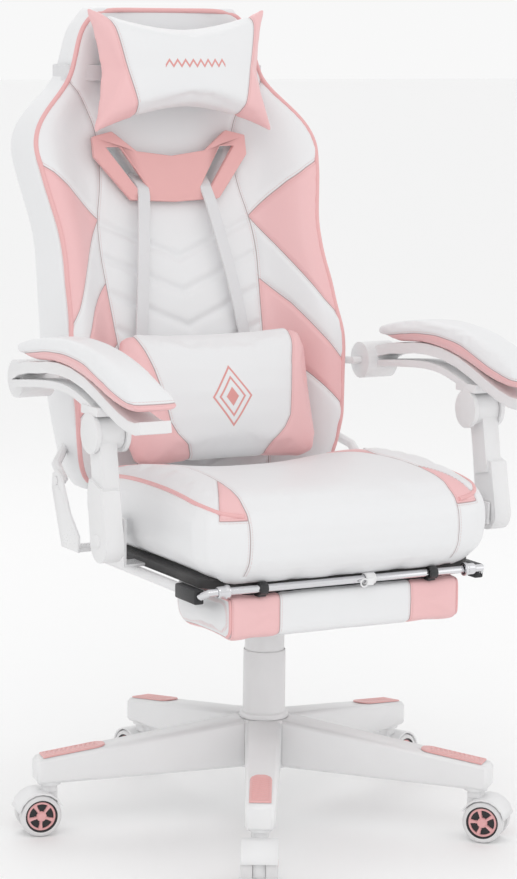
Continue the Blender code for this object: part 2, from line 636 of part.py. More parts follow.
def backrest(recline):
    frame = tube("back_frame", frame_route(), TUBE_RADIUS)
    stays = [arm_stay(f"arm_stay_{side}", side, 0.0060) for side in (-1, 1)]
    pins = [cylinder(f"recline_pin_{side}", (side * (PLATE_X - 0.010), RECLINE.y, RECLINE.z),
                     (side * (PLATE_X + 0.0060), RECLINE.y, RECLINE.z), 0.0060) for side in (-1, 1)]
    arm_pins = [cylinder(f"arm_pin_{side}", (side * 0.257, ARM_REAR.y, ARM_REAR.z),
                         (side * 0.316, ARM_REAR.y, ARM_REAR.z), 0.0060) for side in (-1, 1)]
    finish(combine(frame, stays + pins + arm_pins), WHITE_PLASTIC, 0.35, 0.3)

    def shape(u, v, w):
        z = BACK_BOTTOM + (BACK_TOP - BACK_BOTTOM) * (w + 1) / 2
        z += 0.006 * (1 - u * u) * smooth_step(0.8, 1.0, w)
        edge = 0.93 + 0.07 * (1 - v * v)
        share = abs(u)
        front = back_front(z, share)
        rear = table(BACK_FRONT, z) + table(BACK_DEPTH, z) - 0.035 * smooth_step(0.55, 1.0, share)
        front += 0.010 * smooth_step(0.9, 1.0, share)
        return u * table(BACK_HALF, z) * edge, front + (rear - front) * (v + 1) / 2, z
    cushion = soft_block("back_cushion", (7, 1, 10), shape, (0, 0.3, 0.86))
    channel = tube("frame_channel", frame_route(), TUBE_RADIUS + 0.0010)
    stay_ways = [arm_stay(f"stay_channel_{side}", side, 0.0068, 0.166) for side in (-1, 1)]
    slots = [facing_plate(f"back_slot_{side}", slot_outline(side, 0.10), 0.4, 0.36)
             for side in (-1, 1)]
    finish(combine(cushion, [channel] + stay_ways + slots, "DIFFERENCE"), WHITE_LEATHER, 0.45)

    half = [(0.0, 0.917), (0.078, 0.921), (0.134, 0.990), (0.134, 1.022), (0.100, 1.030),
            (0.060, 0.998), (0.0, 0.990)]
    outline = [(x, z) for x, z in half] + [(-x, z) for x, z in half[-2:0:-1]]
    lean = math.atan(0.25)
    trim = facing_plate("belt_trim", outline, 0.008, 0.3310, lean)
    windows = [facing_plate(f"trim_slot_{side}", slot_outline(side), 0.2, 0.33) for side in (-1, 1)]
    finish(combine(trim, windows, "DIFFERENCE"), PINK_PLASTIC, 0.35)

    def straps(name, side):
        top = Vector((side * 0.054, 0.3105, 0.946))
        foot = Vector((side * 0.096, 0.2335, 0.660))
        half = 0.0105
        outline = [(top.x - half, top.z), (foot.x - half, foot.z),
                   (foot.x + half, foot.z), (top.x + half, top.z)]
        slope = math.atan2(top.y - foot.y, top.z - foot.z)
        y = (top.y + foot.y) / 2
        hang(recline, [finish(facing_plate(f"lumbar_strap_{name}", outline, 0.0016, y, slope),
                              WHITE_LEATHER, 0.6)])
    both_sides(straps)

    def pillow(name, centre, lean, half_x, half_z, half_y, waist, colour):
        """A stuffed pillow with pulled-out corners, leaning with the backrest."""
        turn = Matrix.Rotation(-lean, 3, "X")

        def shape(u, v, w):
            pinch = 1 - waist * (1 - abs(u) ** 1.5) * abs(w)
            x = u * half_x * (1 - 0.05 * (1 - abs(w)))
            y = v * half_y * (1 - 0.62 * max(abs(u), abs(w)) ** 3)
            return Vector(centre) + turn @ Vector((x, y, w * half_z * pinch))
        return finish(soft_block(name, (4, 1, 2), shape, centre), colour, 0.45)

    head = pillow("head_pillow", (0, 0.290, 1.127), math.radians(8), 0.168, 0.110, 0.045, 0.13,
                  PINK_LEATHER)
    lumbar = pillow("lumbar_pillow", (0, 0.164, 0.628), math.radians(16), 0.172, 0.110, 0.050, 0.05,
                    PINK_LEATHER)

    strap_z, strap_half = 1.124, 0.009
    reach = table(BACK_HALF, strap_z - 0.014) + 0.013
    strap = plate("head_strap", rounded(reach, 0.339, 0.4215, 0.020), 2 * strap_half,
                  Matrix.Translation((0, 0, strap_z)))
    inside = plate("strap_inside", rounded(reach - 0.0016, 0.3406, 0.4199, 0.0185), 0.1,
                   Matrix.Translation((0, 0, strap_z)))
    finish(combine(strap, [inside], "DIFFERENCE"), WHITE_LEATHER, 0.6)
    hang(recline, [frame, cushion, trim, head, lumbar, strap])


def hinge_brackets(tilt):
    def bracket(name, side):
        inner, outer = side * PLATE_X, side * (PLATE_X + 0.004)
        piece = side_plate(f"hinge_bracket_{name}", [
            (0.088, 0.4150), (0.148, 0.4150), (0.184, 0.500), (0.182, 0.522), (0.168, 0.530),
            (0.152, 0.524), (0.120, 0.470), (0.088, 0.440)], min(inner, outer), max(inner, outer))
        tab = box(f"hinge_tab_{name}", (min(side * (BOARD_HALF + GAP), outer), 0.092, 0.4150),
                  (max(side * (BOARD_HALF + GAP), outer), 0.140, 0.4190))
        hole = cylinder(f"hinge_hole_{name}", (side * 0.25, RECLINE.y, RECLINE.z),
                        (side * 0.28, RECLINE.y, RECLINE.z), 0.0063)
        combine(combine(piece, [tab]), [hole], "DIFFERENCE")
        hang(tilt, [finish(piece, WHITE_PLASTIC, 0.35, 0.3)])
    both_sides(bracket)

    start = Vector((PLATE_X + 0.004 + GAP, 0.140, 0.485))
    axis = pivot("recline_lever_axis", start, tilt)
    lever = tube("recline_lever", [start, start + Vector((0.0085, 0, 0)),
                                   start + Vector((0.0095, -0.030, 0.006)),
                                   start + Vector((0.0095, -0.090, 0.016))], 0.0045)
    hang(axis, [finish(lever, BLACK_PLASTIC, 0.4)])


# ---------------------------------------------------------------- armrests
def armrest(name, side, tilt, recline):
    def reach(low, high):
        return min(side * low, side * high), max(side * low, side * high)

    bracket = box(f"arm_bracket_{name}", (reach(0.2525, 0.2565)[0], -0.042, 0.4150),
                  (reach(0.2525, 0.2565)[1], -0.006, 0.486))
    tab = box(f"arm_tab_{name}", (reach(BOARD_HALF + GAP, 0.2565)[0], -0.042, 0.4150),
              (reach(BOARD_HALF + GAP, 0.2565)[1], -0.006, 0.4190))
    stay = plate(f"arm_offset_{name}", [(side * 0.2525, -0.024), (side * 0.2565, -0.016),
                                        (side * 0.3085, -0.074), (side * 0.3045, -0.082)], 0.034,
                 Matrix.Translation((0, 0, POST.z)))
    inner_plate = box(f"arm_plate_{name}", (reach(0.3045, 0.3085)[0], POST.y - 0.014, 0.453),
                      (reach(0.3045, 0.3085)[1], -0.072, 0.487))
    pin = cylinder(f"post_pin_{name}", (side * 0.306, POST.y, POST.z),
                   (side * 0.326, POST.y, POST.z), 0.0060)
    combine(bracket, [tab, stay, inner_plate, pin])
    hang(tilt, [finish(bracket, BLACK_PLASTIC, 0.4, 0.5)])

    post_pivot = pivot(f"post_{name}_pivot", POST + Vector((side * 0.324, 0, 0)), tilt)
    along = LINK.normalized()
    across = Vector((0, along.z, -along.y))

    def place(length, width):
        point = POST + along * length + across * width
        return point.y, point.z
    foot = [place(0.027 * math.cos(turn), 0.027 * math.sin(turn))
            for turn in (math.pi / 2 + math.pi * step / 10 for step in range(11))]
    casing = side_plate(f"arm_post_{name}", [place(0.074, 0.025)] + foot
                        + [place(0.074, -0.025), place(0.094, 0.016)], *reach(0.3100, 0.3380))
    blade = side_plate(f"post_blade_{name}", [place(0.060, 0.018), place(0.060, -0.018),
                                              place(LINK.length, -0.018), place(LINK.length, 0.018)],
                       *reach(0.3060, 0.3325))
    front = POST + LINK
    barrel = cylinder(f"post_barrel_{name}", (side * 0.2945, front.y, front.z),
                      (side * 0.3325, front.y, front.z), BARREL_RADIUS)
    socket = cylinder(f"post_socket_{name}", (side * 0.30, POST.y, POST.z),
                      (side * 0.3265, POST.y, POST.z), 0.0063)
    combine(combine(casing, [blade, barrel]), [socket], "DIFFERENCE")
    hang(post_pivot, [finish(casing, WHITE_PLASTIC, 0.4)])

    arm_pivot = pivot(f"arm_{name}_pivot", ARM_REAR + Vector((side * 0.300, 0, 0)), recline)
    upper = side_plate(f"arm_frame_{name}", band([
        (0.190, 0.676), (0.150, 0.690), (0.093, 0.6965), (0.045, 0.7025), (-0.016, 0.7025),
        (-0.081, 0.6915), (-0.138, 0.6725), (-0.191, 0.6560), (-0.232, 0.6490), (-0.258, 0.6530)],
        0.0085), *reach(ARM_INNER, ARM_OUTER))
    lower = side_plate(f"arm_rib_{name}", band([
        (0.190, 0.662), (0.100, 0.6725), (0.030, 0.6780), (-0.020, 0.6765), (-0.062, 0.6685),
        (-0.098, 0.6590)], 0.0055), *reach(ARM_INNER, ARM_OUTER))
    boss = cylinder(f"arm_boss_{name}", (side * 0.272, ARM_REAR.y, ARM_REAR.z),
                    (side * 0.3260, ARM_REAR.y, ARM_REAR.z), BOSS_RADIUS)
    cheeks = [cylinder(f"arm_cheek_{name}_{index}", (side * low, front.y, front.z),
                       (side * high, front.y, front.z), BOSS_RADIUS)
              for index, (low, high) in enumerate(((0.2868, 0.2935), (0.3335, 0.3400)))]
    nose = side_plate(f"arm_nose_{name}", [(-0.125, 0.664), (-0.070, 0.664), (-0.070, 0.6515),
                                           (-0.125, 0.6515)], *reach(ARM_INNER, 0.3385))
    eye = cylinder(f"arm_eye_{name}", (side * 0.26, ARM_REAR.y, ARM_REAR.z),
                   (side * 0.3163, ARM_REAR.y, ARM_REAR.z), 0.0063)
    combine(combine(upper, [lower, boss, nose] + cheeks), [eye], "DIFFERENCE")
    finish(upper, WHITE_PLASTIC, 0.4)

    under = ((-0.262, 0.6665), (-0.232, 0.6625), (-0.191, 0.6695), (-0.138, 0.6860),
             (-0.081, 0.7045), (-0.016, 0.7150), (0.045, 0.7150), (0.093, 0.7095), (0.170, 0.7010))
    over = ((-0.262, 0.684), (-0.240, 0.700), (-0.190, 0.723), (-0.130, 0.738), (-0.060, 0.748),
            (0.020, 0.748), (0.100, 0.739), (0.170, 0.724))

    def shape(u, v, w):
        y = -0.046 + v * 0.216
        low, high = table(under, y), table(over, y)
        x = side * 0.312 + u * 0.040 * (1 - 0.12 * abs(v) ** 3)
        return x, y, low + (high - low) * (w + 1) / 2
    pad = soft_block(f"arm_pad_{name}", (1, 7, 1), shape, (side * 0.312, -0.046, 0.71))
    finish(pad, WHITE_LEATHER, 0.45)
    hang(arm_pivot, [upper, pad])


# ---------------------------------------------------------------- build
clear_scene()
PARTS = new_collection("gaming_chair")
CUTTERS = new_collection("cutters")
LEG_ANGLES = [math.radians(LEG_HEADING + 72 * index) for index in range(5)]

star_base()
foot_pads()
for number, heading in enumerate(LEG_ANGLES, 1):
    caster(number, heading)
lift_pivot = gas_lift()
swivel_pivot = pivot("swivel", (0, 0, PISTON_TOP), lift_pivot)
mechanism(swivel_pivot)
tilt_pivot = pivot("rocking", (0, TILT_PIN_Y, TILT_PIN_Z), swivel_pivot)
seat(tilt_pivot)
footrest(tilt_pivot)
hinge_brackets(tilt_pivot)
recline_pivot = pivot("recline", RECLINE, tilt_pivot)
backrest(recline_pivot)
for label, direction in (("left", -1), ("right", 1)):
    armrest(label, direction, tilt_pivot, recline_pivot)
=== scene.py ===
# %% [markdown]
# # A white and pink gaming chair
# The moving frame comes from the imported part. This file dresses it: padded leather, moulded
# plastic, chrome and casters. Lengths are in metres, +Z is up and the sitter faces -Y.

# %% Load the frame
import math

import bmesh
import bpy
import numpy as np
from mathutils import Matrix, Vector
from mathutils.bvhtree import BVHTree
from mathutils.geometry import convex_hull_2d


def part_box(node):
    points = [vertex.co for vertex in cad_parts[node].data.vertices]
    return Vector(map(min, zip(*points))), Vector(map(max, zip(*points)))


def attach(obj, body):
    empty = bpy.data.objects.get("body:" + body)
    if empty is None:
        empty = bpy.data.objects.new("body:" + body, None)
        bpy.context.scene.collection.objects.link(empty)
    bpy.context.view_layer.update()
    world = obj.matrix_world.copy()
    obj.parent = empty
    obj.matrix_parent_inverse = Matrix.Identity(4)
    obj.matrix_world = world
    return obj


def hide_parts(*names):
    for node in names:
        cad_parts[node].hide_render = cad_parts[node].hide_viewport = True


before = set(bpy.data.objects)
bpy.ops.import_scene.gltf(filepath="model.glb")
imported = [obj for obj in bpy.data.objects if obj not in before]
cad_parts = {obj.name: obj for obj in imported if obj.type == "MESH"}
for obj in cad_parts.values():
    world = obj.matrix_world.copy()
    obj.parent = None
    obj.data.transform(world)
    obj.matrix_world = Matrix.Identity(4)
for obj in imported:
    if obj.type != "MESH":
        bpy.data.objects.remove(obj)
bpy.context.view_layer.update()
scene = bpy.context.scene
print("frame loaded:", len(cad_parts), "nodes")

# %% [markdown]
# ## Small helpers
# A mesh piece is made from points and faces. A curve through points becomes a tube, which is how
# piping, wire and rods are made. Every piece rides on the body that carries it.


# %% Mesh helpers
def piece(name, points, faces, material, body, smooth=True):
    mesh = bpy.data.meshes.new(name)
    mesh.from_pydata([tuple(point) for point in points], [], faces)
    mesh.update()
    if smooth:
        mesh.shade_smooth()
    made = bpy.data.objects.new(name, mesh)
    scene.collection.objects.link(made)
    made.data.materials.append(material)
    if body:
        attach(made, body)
    return made


def settle(made):
    """Swaps the piece's mesh for the one its modifiers give."""
    graph = bpy.context.evaluated_depsgraph_get()
    mesh = bpy.data.meshes.new_from_object(made.evaluated_get(graph))
    made.modifiers.clear()
    made.data = mesh
    return made


def tube(name, path, radius, material, body, closed=False, sides=4):
    curve = bpy.data.curves.new(name, "CURVE")
    curve.dimensions = "3D"
    curve.bevel_depth = radius
    curve.bevel_resolution = sides
    curve.use_fill_caps = True
    spline = curve.splines.new("POLY")
    spline.points.add(len(path) - 1)
    for point, place in zip(spline.points, path):
        point.co = (*place, 1.0)
    spline.use_cyclic_u = closed
    spline.use_smooth = True
    made = bpy.data.objects.new(name, curve)
    scene.collection.objects.link(made)
    curve.materials.append(material)
    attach(made, body)
    return made


SAME_POINT = 0.000001


def clean(made, weld=0.0):
    """Joins the points closer than weld, and turns every face outwards."""
    data = bmesh.new()
    data.from_mesh(made.data)
    if weld:
        bmesh.ops.remove_doubles(data, verts=data.verts, dist=weld)
    bmesh.ops.recalc_face_normals(data, faces=data.faces)
    data.to_mesh(made.data)
    data.free()


def surface_of(made):
    """A search tree of the piece's faces, for laying other pieces on it."""
    return BVHTree.FromPolygons([v.co for v in made.data.vertices],
                                [tuple(p.vertices) for p in made.data.polygons])


def lathe(name, profile, material, body, place=Matrix(), steps=64):
    """Turns (radius, height) points about Z, then sets the piece in its place."""
    points, faces, count = [], [], len(profile)
    for step in range(steps):
        turn = 2 * math.pi * step / steps
        points += [place @ Vector((radius * math.cos(turn), radius * math.sin(turn), height))
                   for radius, height in profile]
    for step in range(steps):
        here, there = step * count, (step + 1) % steps * count
        faces += [(here + k, there + k, there + k + 1, here + k + 1) for k in range(count - 1)]
    made = piece(name, points, faces, material, None)
    clean(made, SAME_POINT)
    made.data.set_sharp_from_angle(angle=math.radians(40))
    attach(made, body)
    return made


def reading(rows, at):
    """Reads a table of (position, value) rows along a straight line between them."""
    return np.interp(at, [row[0] for row in rows], [row[1] for row in rows])


def smooth_step(low, high, value):
    share = np.clip((value - low) / (high - low), 0, 1)
    return share * share * (3 - 2 * share)


def smooth_line(knots, count):
    """A smooth line through the knots, as points."""
    knots = [Vector(knot) for knot in knots]
    knots = [2 * knots[0] - knots[1]] + knots + [2 * knots[-1] - knots[-2]]
    spans, line = len(knots) - 3, []
    for index in range(count + 1):
        place = index / count * spans
        span = min(int(place), spans - 1)
        t = place - span
        a, b, c, d = knots[span:span + 4]
        line.append(0.5 * (2 * b + (c - a) * t + (2 * a - 5 * b + 4 * c - d) * t ** 2
                           + (3 * b - a - 3 * c + d) * t ** 3))
    return line


print("helpers ready")

# %% [markdown]
# ## Surface effects
# Three effects are shared by many materials. Grain is a pebbled skin, about a millimetre across,
# broken up by wider, softer creases. Handling is the faint mottling and the duller patches that
# use leaves. Thread turns the distance from a seam into a row of stitches on both sides of it.


# %% Node helpers
def add(tree, kind, inputs=(), **settings):
    made = tree.nodes.new(kind)
    for key, value in settings.items():
        setattr(made, key, value)
    for key, value in dict(inputs).items():
        if isinstance(value, bpy.types.NodeSocket):
            tree.links.new(value, made.inputs[key])
        else:
            made.inputs[key].default_value = value
    return made


def maths(tree, operation, first, second=0.0, clamp=False):
    made = add(tree, "ShaderNodeMath", {0: first, 1: second}, operation=operation)
    made.use_clamp = clamp
    return made.outputs[0]


def remap(tree, value, low, high, to_low=0.0, to_high=1.0):
    return add(tree, "ShaderNodeMapRange", {"Value": value, "From Min": low, "From Max": high,
                                            "To Min": to_low, "To Max": to_high}).outputs[0]


def group(name, takes, gives):
    made = bpy.data.node_groups.new(name, "ShaderNodeTree")
    for label, kind, value in takes:
        socket = made.interface.new_socket(name=label, in_out="INPUT", socket_type=kind)
        socket.default_value = value
    for label in gives:
        made.interface.new_socket(name=label, in_out="OUTPUT", socket_type="NodeSocketFloat")
    return made, add(made, "NodeGroupInput").outputs, add(made, "NodeGroupOutput").inputs


def place_group(tree, made, inputs):
    placed = add(tree, "ShaderNodeGroup", node_tree=made)
    for key, value in inputs.items():
        if isinstance(value, bpy.types.NodeSocket):
            tree.links.new(value, placed.inputs[key])
        else:
            placed.inputs[key].default_value = value
    return placed.outputs


# %% Grain
FLOAT, VECTOR = "NodeSocketFloat", "NodeSocketVector"
grain, takes, gives = group("grain", [("Place", VECTOR, (0, 0, 0)), ("Cells per metre", FLOAT, 900.0),
                                      ("Creases", FLOAT, 0.3)], ["Height", "Pores"])
cells = add(grain, "ShaderNodeTexVoronoi", {"Vector": takes["Place"], "Scale": takes["Cells per metre"]},
            feature="DISTANCE_TO_EDGE")
pores = remap(grain, cells.outputs["Distance"], 0.0, 0.18)
creases = add(grain, "ShaderNodeTexNoise", {"Vector": takes["Place"], "Scale": 160.0, "Detail": 4.0})
folded = maths(grain, "MULTIPLY", creases.outputs[0], takes["Creases"])
grain.links.new(maths(grain, "ADD", pores, folded), gives["Height"])
grain.links.new(pores, gives["Pores"])
print("grain group:", len(grain.nodes), "nodes")

# %% Handling
handling, takes, gives = group("handling", [("Place", VECTOR, (0, 0, 0)), ("Patch per metre", FLOAT, 9.0)],
                               ["Tone", "Dulling"])
patches = add(handling, "ShaderNodeTexNoise", {"Vector": takes["Place"], "Detail": 5.0,
                                               "Scale": takes["Patch per metre"]})
specks = add(handling, "ShaderNodeTexNoise", {"Vector": takes["Place"], "Scale": 420.0, "Detail": 2.0})
handling.links.new(remap(handling, patches.outputs[0], 0.3, 0.7), gives["Tone"])
handling.links.new(maths(handling, "ADD", remap(handling, patches.outputs[0], 0.35, 0.75, 0.0, 0.7),
                         remap(handling, specks.outputs[0], 0.3, 0.7, 0.0, 0.3)), gives["Dulling"])
print("handling group:", len(handling.nodes), "nodes")

# %% Thread
thread, takes, gives = group("thread", [("Place", VECTOR, (0, 0, 0)), ("Seam", FLOAT, 1.0),
                                        ("Off seam", FLOAT, 0.0032), ("Stitch", FLOAT, 0.0042)],
                             ["Thread", "Groove"])
away = maths(thread, "ABSOLUTE", takes["Seam"])
gap = maths(thread, "ABSOLUTE", maths(thread, "SUBTRACT", away, takes["Off seam"]))
line = remap(thread, gap, 0.00025, 0.00055, 1.0, 0.0)
split = add(thread, "ShaderNodeSeparateXYZ", {0: takes["Place"]})
along = maths(thread, "ADD", maths(thread, "ADD", split.outputs[0], split.outputs[1]), split.outputs[2])
beat = maths(thread, "FRACT", maths(thread, "DIVIDE", along, takes["Stitch"]))
dash = remap(thread, maths(thread, "ABSOLUTE", maths(thread, "SUBTRACT", beat, 0.5)), 0.34, 0.40, 1.0, 0.0)
thread.links.new(maths(thread, "MULTIPLY", line, dash), gives["Thread"])
thread.links.new(remap(thread, away, 0.0002, 0.0011, 1.0, 0.0), gives["Groove"])
print("thread group:", len(thread.nodes), "nodes")

# %% [markdown]
# ## Leather
# The covers are coated leather in two colours, sewn from panels. One material does both: a value
# carried by every point of the mesh, the distance into the pink panels, says which colour shows,
# so that the border stays a crisp line however coarse the mesh is. The same distances draw the
# pressed seam, with painted shade darkening its groove, and its stitches.

# %% Leather material
WHITE, PINK = (0.82, 0.825, 0.835), (0.86, 0.515, 0.52)
PINK_THREAD = (0.72, 0.30, 0.30)


def principled(name):
    made = bpy.data.materials.new(name)
    made.use_nodes = True
    shader = made.node_tree.nodes["Principled BSDF"]
    place = add(made.node_tree, "ShaderNodeTexCoord").outputs["Object"]
    return made, made.node_tree, shader, place


def mix(tree, factor, first, second, kind="MIX"):
    made = add(tree, "ShaderNodeMix", data_type="RGBA", blend_type=kind)
    for key, value in ((0, factor), (6, first), (7, second)):
        if isinstance(value, bpy.types.NodeSocket):
            tree.links.new(value, made.inputs[key])
        elif key == 0:
            made.inputs[key].default_value = value
        else:
            made.inputs[key].default_value = (*value, 1.0)
    return made.outputs[2]


def leather(name, mark=None):
    """Two-coloured stitched leather. mark draws an embroidered motif from the place on the piece."""
    made, tree, shader, place = principled(name)
    grained = place_group(tree, grain, {"Place": place, "Cells per metre": 850.0, "Creases": 0.35})
    handled = place_group(tree, handling, {"Place": place, "Patch per metre": 7.0})
    into_pink = add(tree, "ShaderNodeAttribute", attribute_name="into_pink").outputs["Fac"]
    seam = add(tree, "ShaderNodeAttribute", attribute_name="seam").outputs["Fac"]
    pink = remap(tree, into_pink, -0.0003, 0.0003)
    colour = mix(tree, pink, WHITE, PINK)
    sewn = [place_group(tree, thread, {"Place": place, "Seam": value}) for value in (into_pink, seam)]
    groove = maths(tree, "MAXIMUM", sewn[0]["Groove"], sewn[1]["Groove"])
    stitches = maths(tree, "MAXIMUM", sewn[0]["Thread"], sewn[1]["Thread"])
    colour = mix(tree, remap(tree, handled["Tone"], 0.0, 1.0, 0.0, 0.07), colour, (0.74, 0.70, 0.69))
    # Painted shade: the colour darkens in the pressed seam's groove, next to the seam line.
    colour = mix(tree, maths(tree, "MULTIPLY", groove, 0.72), colour, (0.36, 0.22, 0.22))
    colour = mix(tree, maths(tree, "MULTIPLY", stitches, 0.30), colour, PINK_THREAD)
    height = maths(tree, "ADD", maths(tree, "MULTIPLY", grained["Height"], 0.05),
                   maths(tree, "MULTIPLY", stitches, 0.9))
    height = maths(tree, "SUBTRACT", height, maths(tree, "MULTIPLY", groove, 2.2))
    if mark:
        drawn = mark(tree, place)
        colour = mix(tree, drawn, colour, (0.74, 0.33, 0.31))
        height = maths(tree, "ADD", height, maths(tree, "MULTIPLY", drawn, 0.8))
    bump = add(tree, "ShaderNodeBump", {"Height": height, "Strength": 0.55, "Distance": 0.0006})
    tree.links.new(colour, shader.inputs["Base Color"])
    tree.links.new(bump.outputs[0], shader.inputs["Normal"])
    tree.links.new(remap(tree, handled["Dulling"], 0.0, 1.0, 0.38, 0.52), shader.inputs["Roughness"])
    shader.inputs["IOR"].default_value = 1.46
    shader.inputs["Coat Weight"].default_value = 0.12
    shader.inputs["Coat Roughness"].default_value = 0.28
    return made


def diamond(tree, place):
    """A plain lozenge inside another, as an embroidered emblem."""
    at = add(tree, "ShaderNodeSeparateXYZ", {0: place})
    across = maths(tree, "DIVIDE", maths(tree, "ABSOLUTE", at.outputs[0]), 0.034)
    above = maths(tree, "ABSOLUTE", maths(tree, "SUBTRACT", at.outputs[2], 0.634))
    up = maths(tree, "DIVIDE", above, 0.046)
    size = maths(tree, "ADD", across, up)
    outer, middle = [
        remap(tree, maths(tree, "ABSOLUTE", maths(tree, "SUBTRACT", size, ring)), 0.045, 0.065, 1.0, 0.0)
        for ring in (0.95, 0.62)]
    inner = remap(tree, size, 0.30, 0.33, 1.0, 0.0)
    ahead = maths(tree, "LESS_THAN", at.outputs[1], 0.150)
    both = maths(tree, "MAXIMUM", maths(tree, "MAXIMUM", outer, middle), inner)
    return maths(tree, "MULTIPLY", both, ahead)


def zigzag(tree, place):
    """A short zigzag line, as plain embroidery."""
    at = add(tree, "ShaderNodeSeparateXYZ", {0: place})
    wave = add(tree, "ShaderNodeMath", {0: at.outputs[0], 1: 0.0065}, operation="PINGPONG").outputs[0]
    line = maths(tree, "SUBTRACT", at.outputs[2], maths(tree, "MULTIPLY", wave, 1.5))
    near = maths(tree, "ABSOLUTE", maths(tree, "SUBTRACT", line, 1.133))
    drawn = remap(tree, near, 0.0022, 0.0028, 1.0, 0.0)
    ends = remap(tree, maths(tree, "ABSOLUTE", at.outputs[0]), 0.0515, 0.0520, 1.0, 0.0)
    ahead = maths(tree, "LESS_THAN", at.outputs[1], 0.290)
    return maths(tree, "MULTIPLY", maths(tree, "MULTIPLY", drawn, ends), ahead)


panel_leather = leather("panel_leather")
emblem_leather = leather("emblem_leather", diamond)
head_leather = leather("head_leather", zigzag)
print("leathers:", panel_leather.name, emblem_leather.name, head_leather.name)


# %% [markdown]
# ## Plastic, paint and metal
# The base, column and arms are moulded white plastic with a fine spark texture, which softens the
# highlights. Sharp outer edges, polished by touch, get a painted highlight: a lighter colour, while
# the hollows keep the plain colour. Chrome keeps faint polishing marks. Piping is a rolled strip of the
# pink leather.


# %% Plain finishes
def finish(name, colour, roughness, cells=1500.0, depth=0.00008, metallic=0.0, tint=(0.55, 0.52, 0.52),
           soiling=0.08, coat=0.0):
    made, tree, shader, place = principled(name)
    grained = place_group(tree, grain, {"Place": place, "Cells per metre": cells, "Creases": 0.2})
    handled = place_group(tree, handling, {"Place": place, "Patch per metre": 12.0})
    shade = mix(tree, remap(tree, handled["Tone"], 0.0, 1.0, 0.0, soiling), colour, tint)
    # Painted highlight: the colour is lighter on sharp outer edges, where pointiness is high.
    edges = add(tree, "ShaderNodeNewGeometry").outputs["Pointiness"]
    edge_highlight = remap(tree, edges, 0.52, 0.62, 0.0, 0.25)
    shade = mix(tree, edge_highlight, shade, tuple(min(1.0, value * 1.12 + 0.02) for value in colour))
    bump = add(tree, "ShaderNodeBump", {"Height": grained["Height"], "Strength": 0.5, "Distance": depth})
    tree.links.new(shade, shader.inputs["Base Color"])
    tree.links.new(bump.outputs[0], shader.inputs["Normal"])
    tree.links.new(remap(tree, handled["Dulling"], 0.0, 1.0, roughness - 0.04, roughness + 0.08),
                   shader.inputs["Roughness"])
    shader.inputs["Metallic"].default_value = metallic
    shader.inputs["Coat Weight"].default_value = coat
    return made


white_plastic = finish("white_plastic", (0.82, 0.82, 0.825), 0.36)
white_paint = finish("white_paint", (0.82, 0.82, 0.825), 0.30, 2600.0, 0.00003)
pink_plastic = finish("pink_plastic", (0.82, 0.45, 0.44), 0.34, tint=(0.60, 0.26, 0.26))
piping_pink = finish("piping_pink", (0.82, 0.46, 0.46), 0.42, 900.0, 0.0001, tint=(0.62, 0.28, 0.28))
piping_white = finish("piping_white", (0.80, 0.80, 0.81), 0.42, 900.0, 0.0001)
chrome = finish("chrome", (0.72, 0.72, 0.74), 0.10, 3000.0, 0.00001, metallic=1.0, tint=(0.5, 0.5, 0.5))
black_steel = finish("black_steel", (0.022, 0.022, 0.024), 0.42, 2200.0, 0.00006, tint=(0.06, 0.06, 0.06))
black_plastic = finish("black_plastic", (0.014, 0.014, 0.016), 0.38, tint=(0.05, 0.05, 0.05))
wheel_rubber = finish("wheel_rubber", (0.77, 0.765, 0.77), 0.48, 1800.0, tint=(0.42, 0.40, 0.39),
                      soiling=0.22)
cap_pink = finish("cap_pink", (0.79, 0.41, 0.41), 0.25, 2600.0, 0.00002, tint=(0.60, 0.26, 0.26), coat=0.3)
print("plain finishes ready")


# %% [markdown]
# Webbing and the black dust cloth under the seat are woven. A weave is two sets of bars that take
# turns on top, so two waves at right angles, compared with each other, give its height.


# %% Woven finishes
def woven(name, colour, per_metre, roughness, turn=0.0):
    made, tree, shader, place = principled(name)
    handled = place_group(tree, handling, {"Place": place, "Patch per metre": 14.0})
    turned = add(tree, "ShaderNodeMapping", {"Vector": place, "Rotation": (0, turn, 0)}).outputs[0]
    split = add(tree, "ShaderNodeSeparateXYZ", {0: turned})
    waves = [maths(tree, "SINE", maths(tree, "MULTIPLY", split.outputs[axis], per_metre * math.tau))
             for axis in (0, 2)]
    waves[1] = maths(tree, "ADD", waves[1], maths(tree, "SINE", maths(
        tree, "MULTIPLY", split.outputs[1], per_metre * math.tau)))
    height = maths(tree, "MULTIPLY", waves[0], waves[1])
    shade = mix(tree, remap(tree, height, -1.0, 1.0, 0.0, 0.35), colour,
                tuple(value * 0.72 for value in colour))
    shade = mix(tree, remap(tree, handled["Tone"], 0.0, 1.0, 0.0, 0.1), shade, (0.5, 0.47, 0.46))
    bump = add(tree, "ShaderNodeBump", {"Height": height, "Strength": 0.5, "Distance": 0.0003})
    tree.links.new(shade, shader.inputs["Base Color"])
    tree.links.new(bump.outputs[0], shader.inputs["Normal"])
    shader.inputs["Roughness"].default_value = roughness
    shader.inputs["Sheen Weight"].default_value = 0.25
    return made


webbing = woven("webbing", (0.80, 0.80, 0.815), 500.0, 0.6)
dust_cloth = woven("dust_cloth", (0.012, 0.012, 0.013), 700.0, 0.85)
print("woven finishes ready")

# %% [markdown]
# ## Frame pieces that keep their shape
# Hard pieces from the frame only need a finish and soft edges. A Weld modifier joins the points
# that shading had split, and a Bevel rounds each edge a little, as on any moulding.


# %% Dress the hard pieces
def dress(names, material, bevel=0.0012, segments=2):
    for name in names:
        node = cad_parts[name]
        node.data.materials.clear()
        node.data.materials.append(material)
        node.data.shade_smooth()
        if bevel:
            weld = node.modifiers.new("Weld", "WELD")
            weld.merge_threshold = 0.00002
            edges = node.modifiers.new("Edges", "BEVEL")
            edges.width = bevel
            edges.segments = segments
            edges.limit_method = "ANGLE"
            edges.angle_limit = math.radians(38)
            edges.harden_normals = True


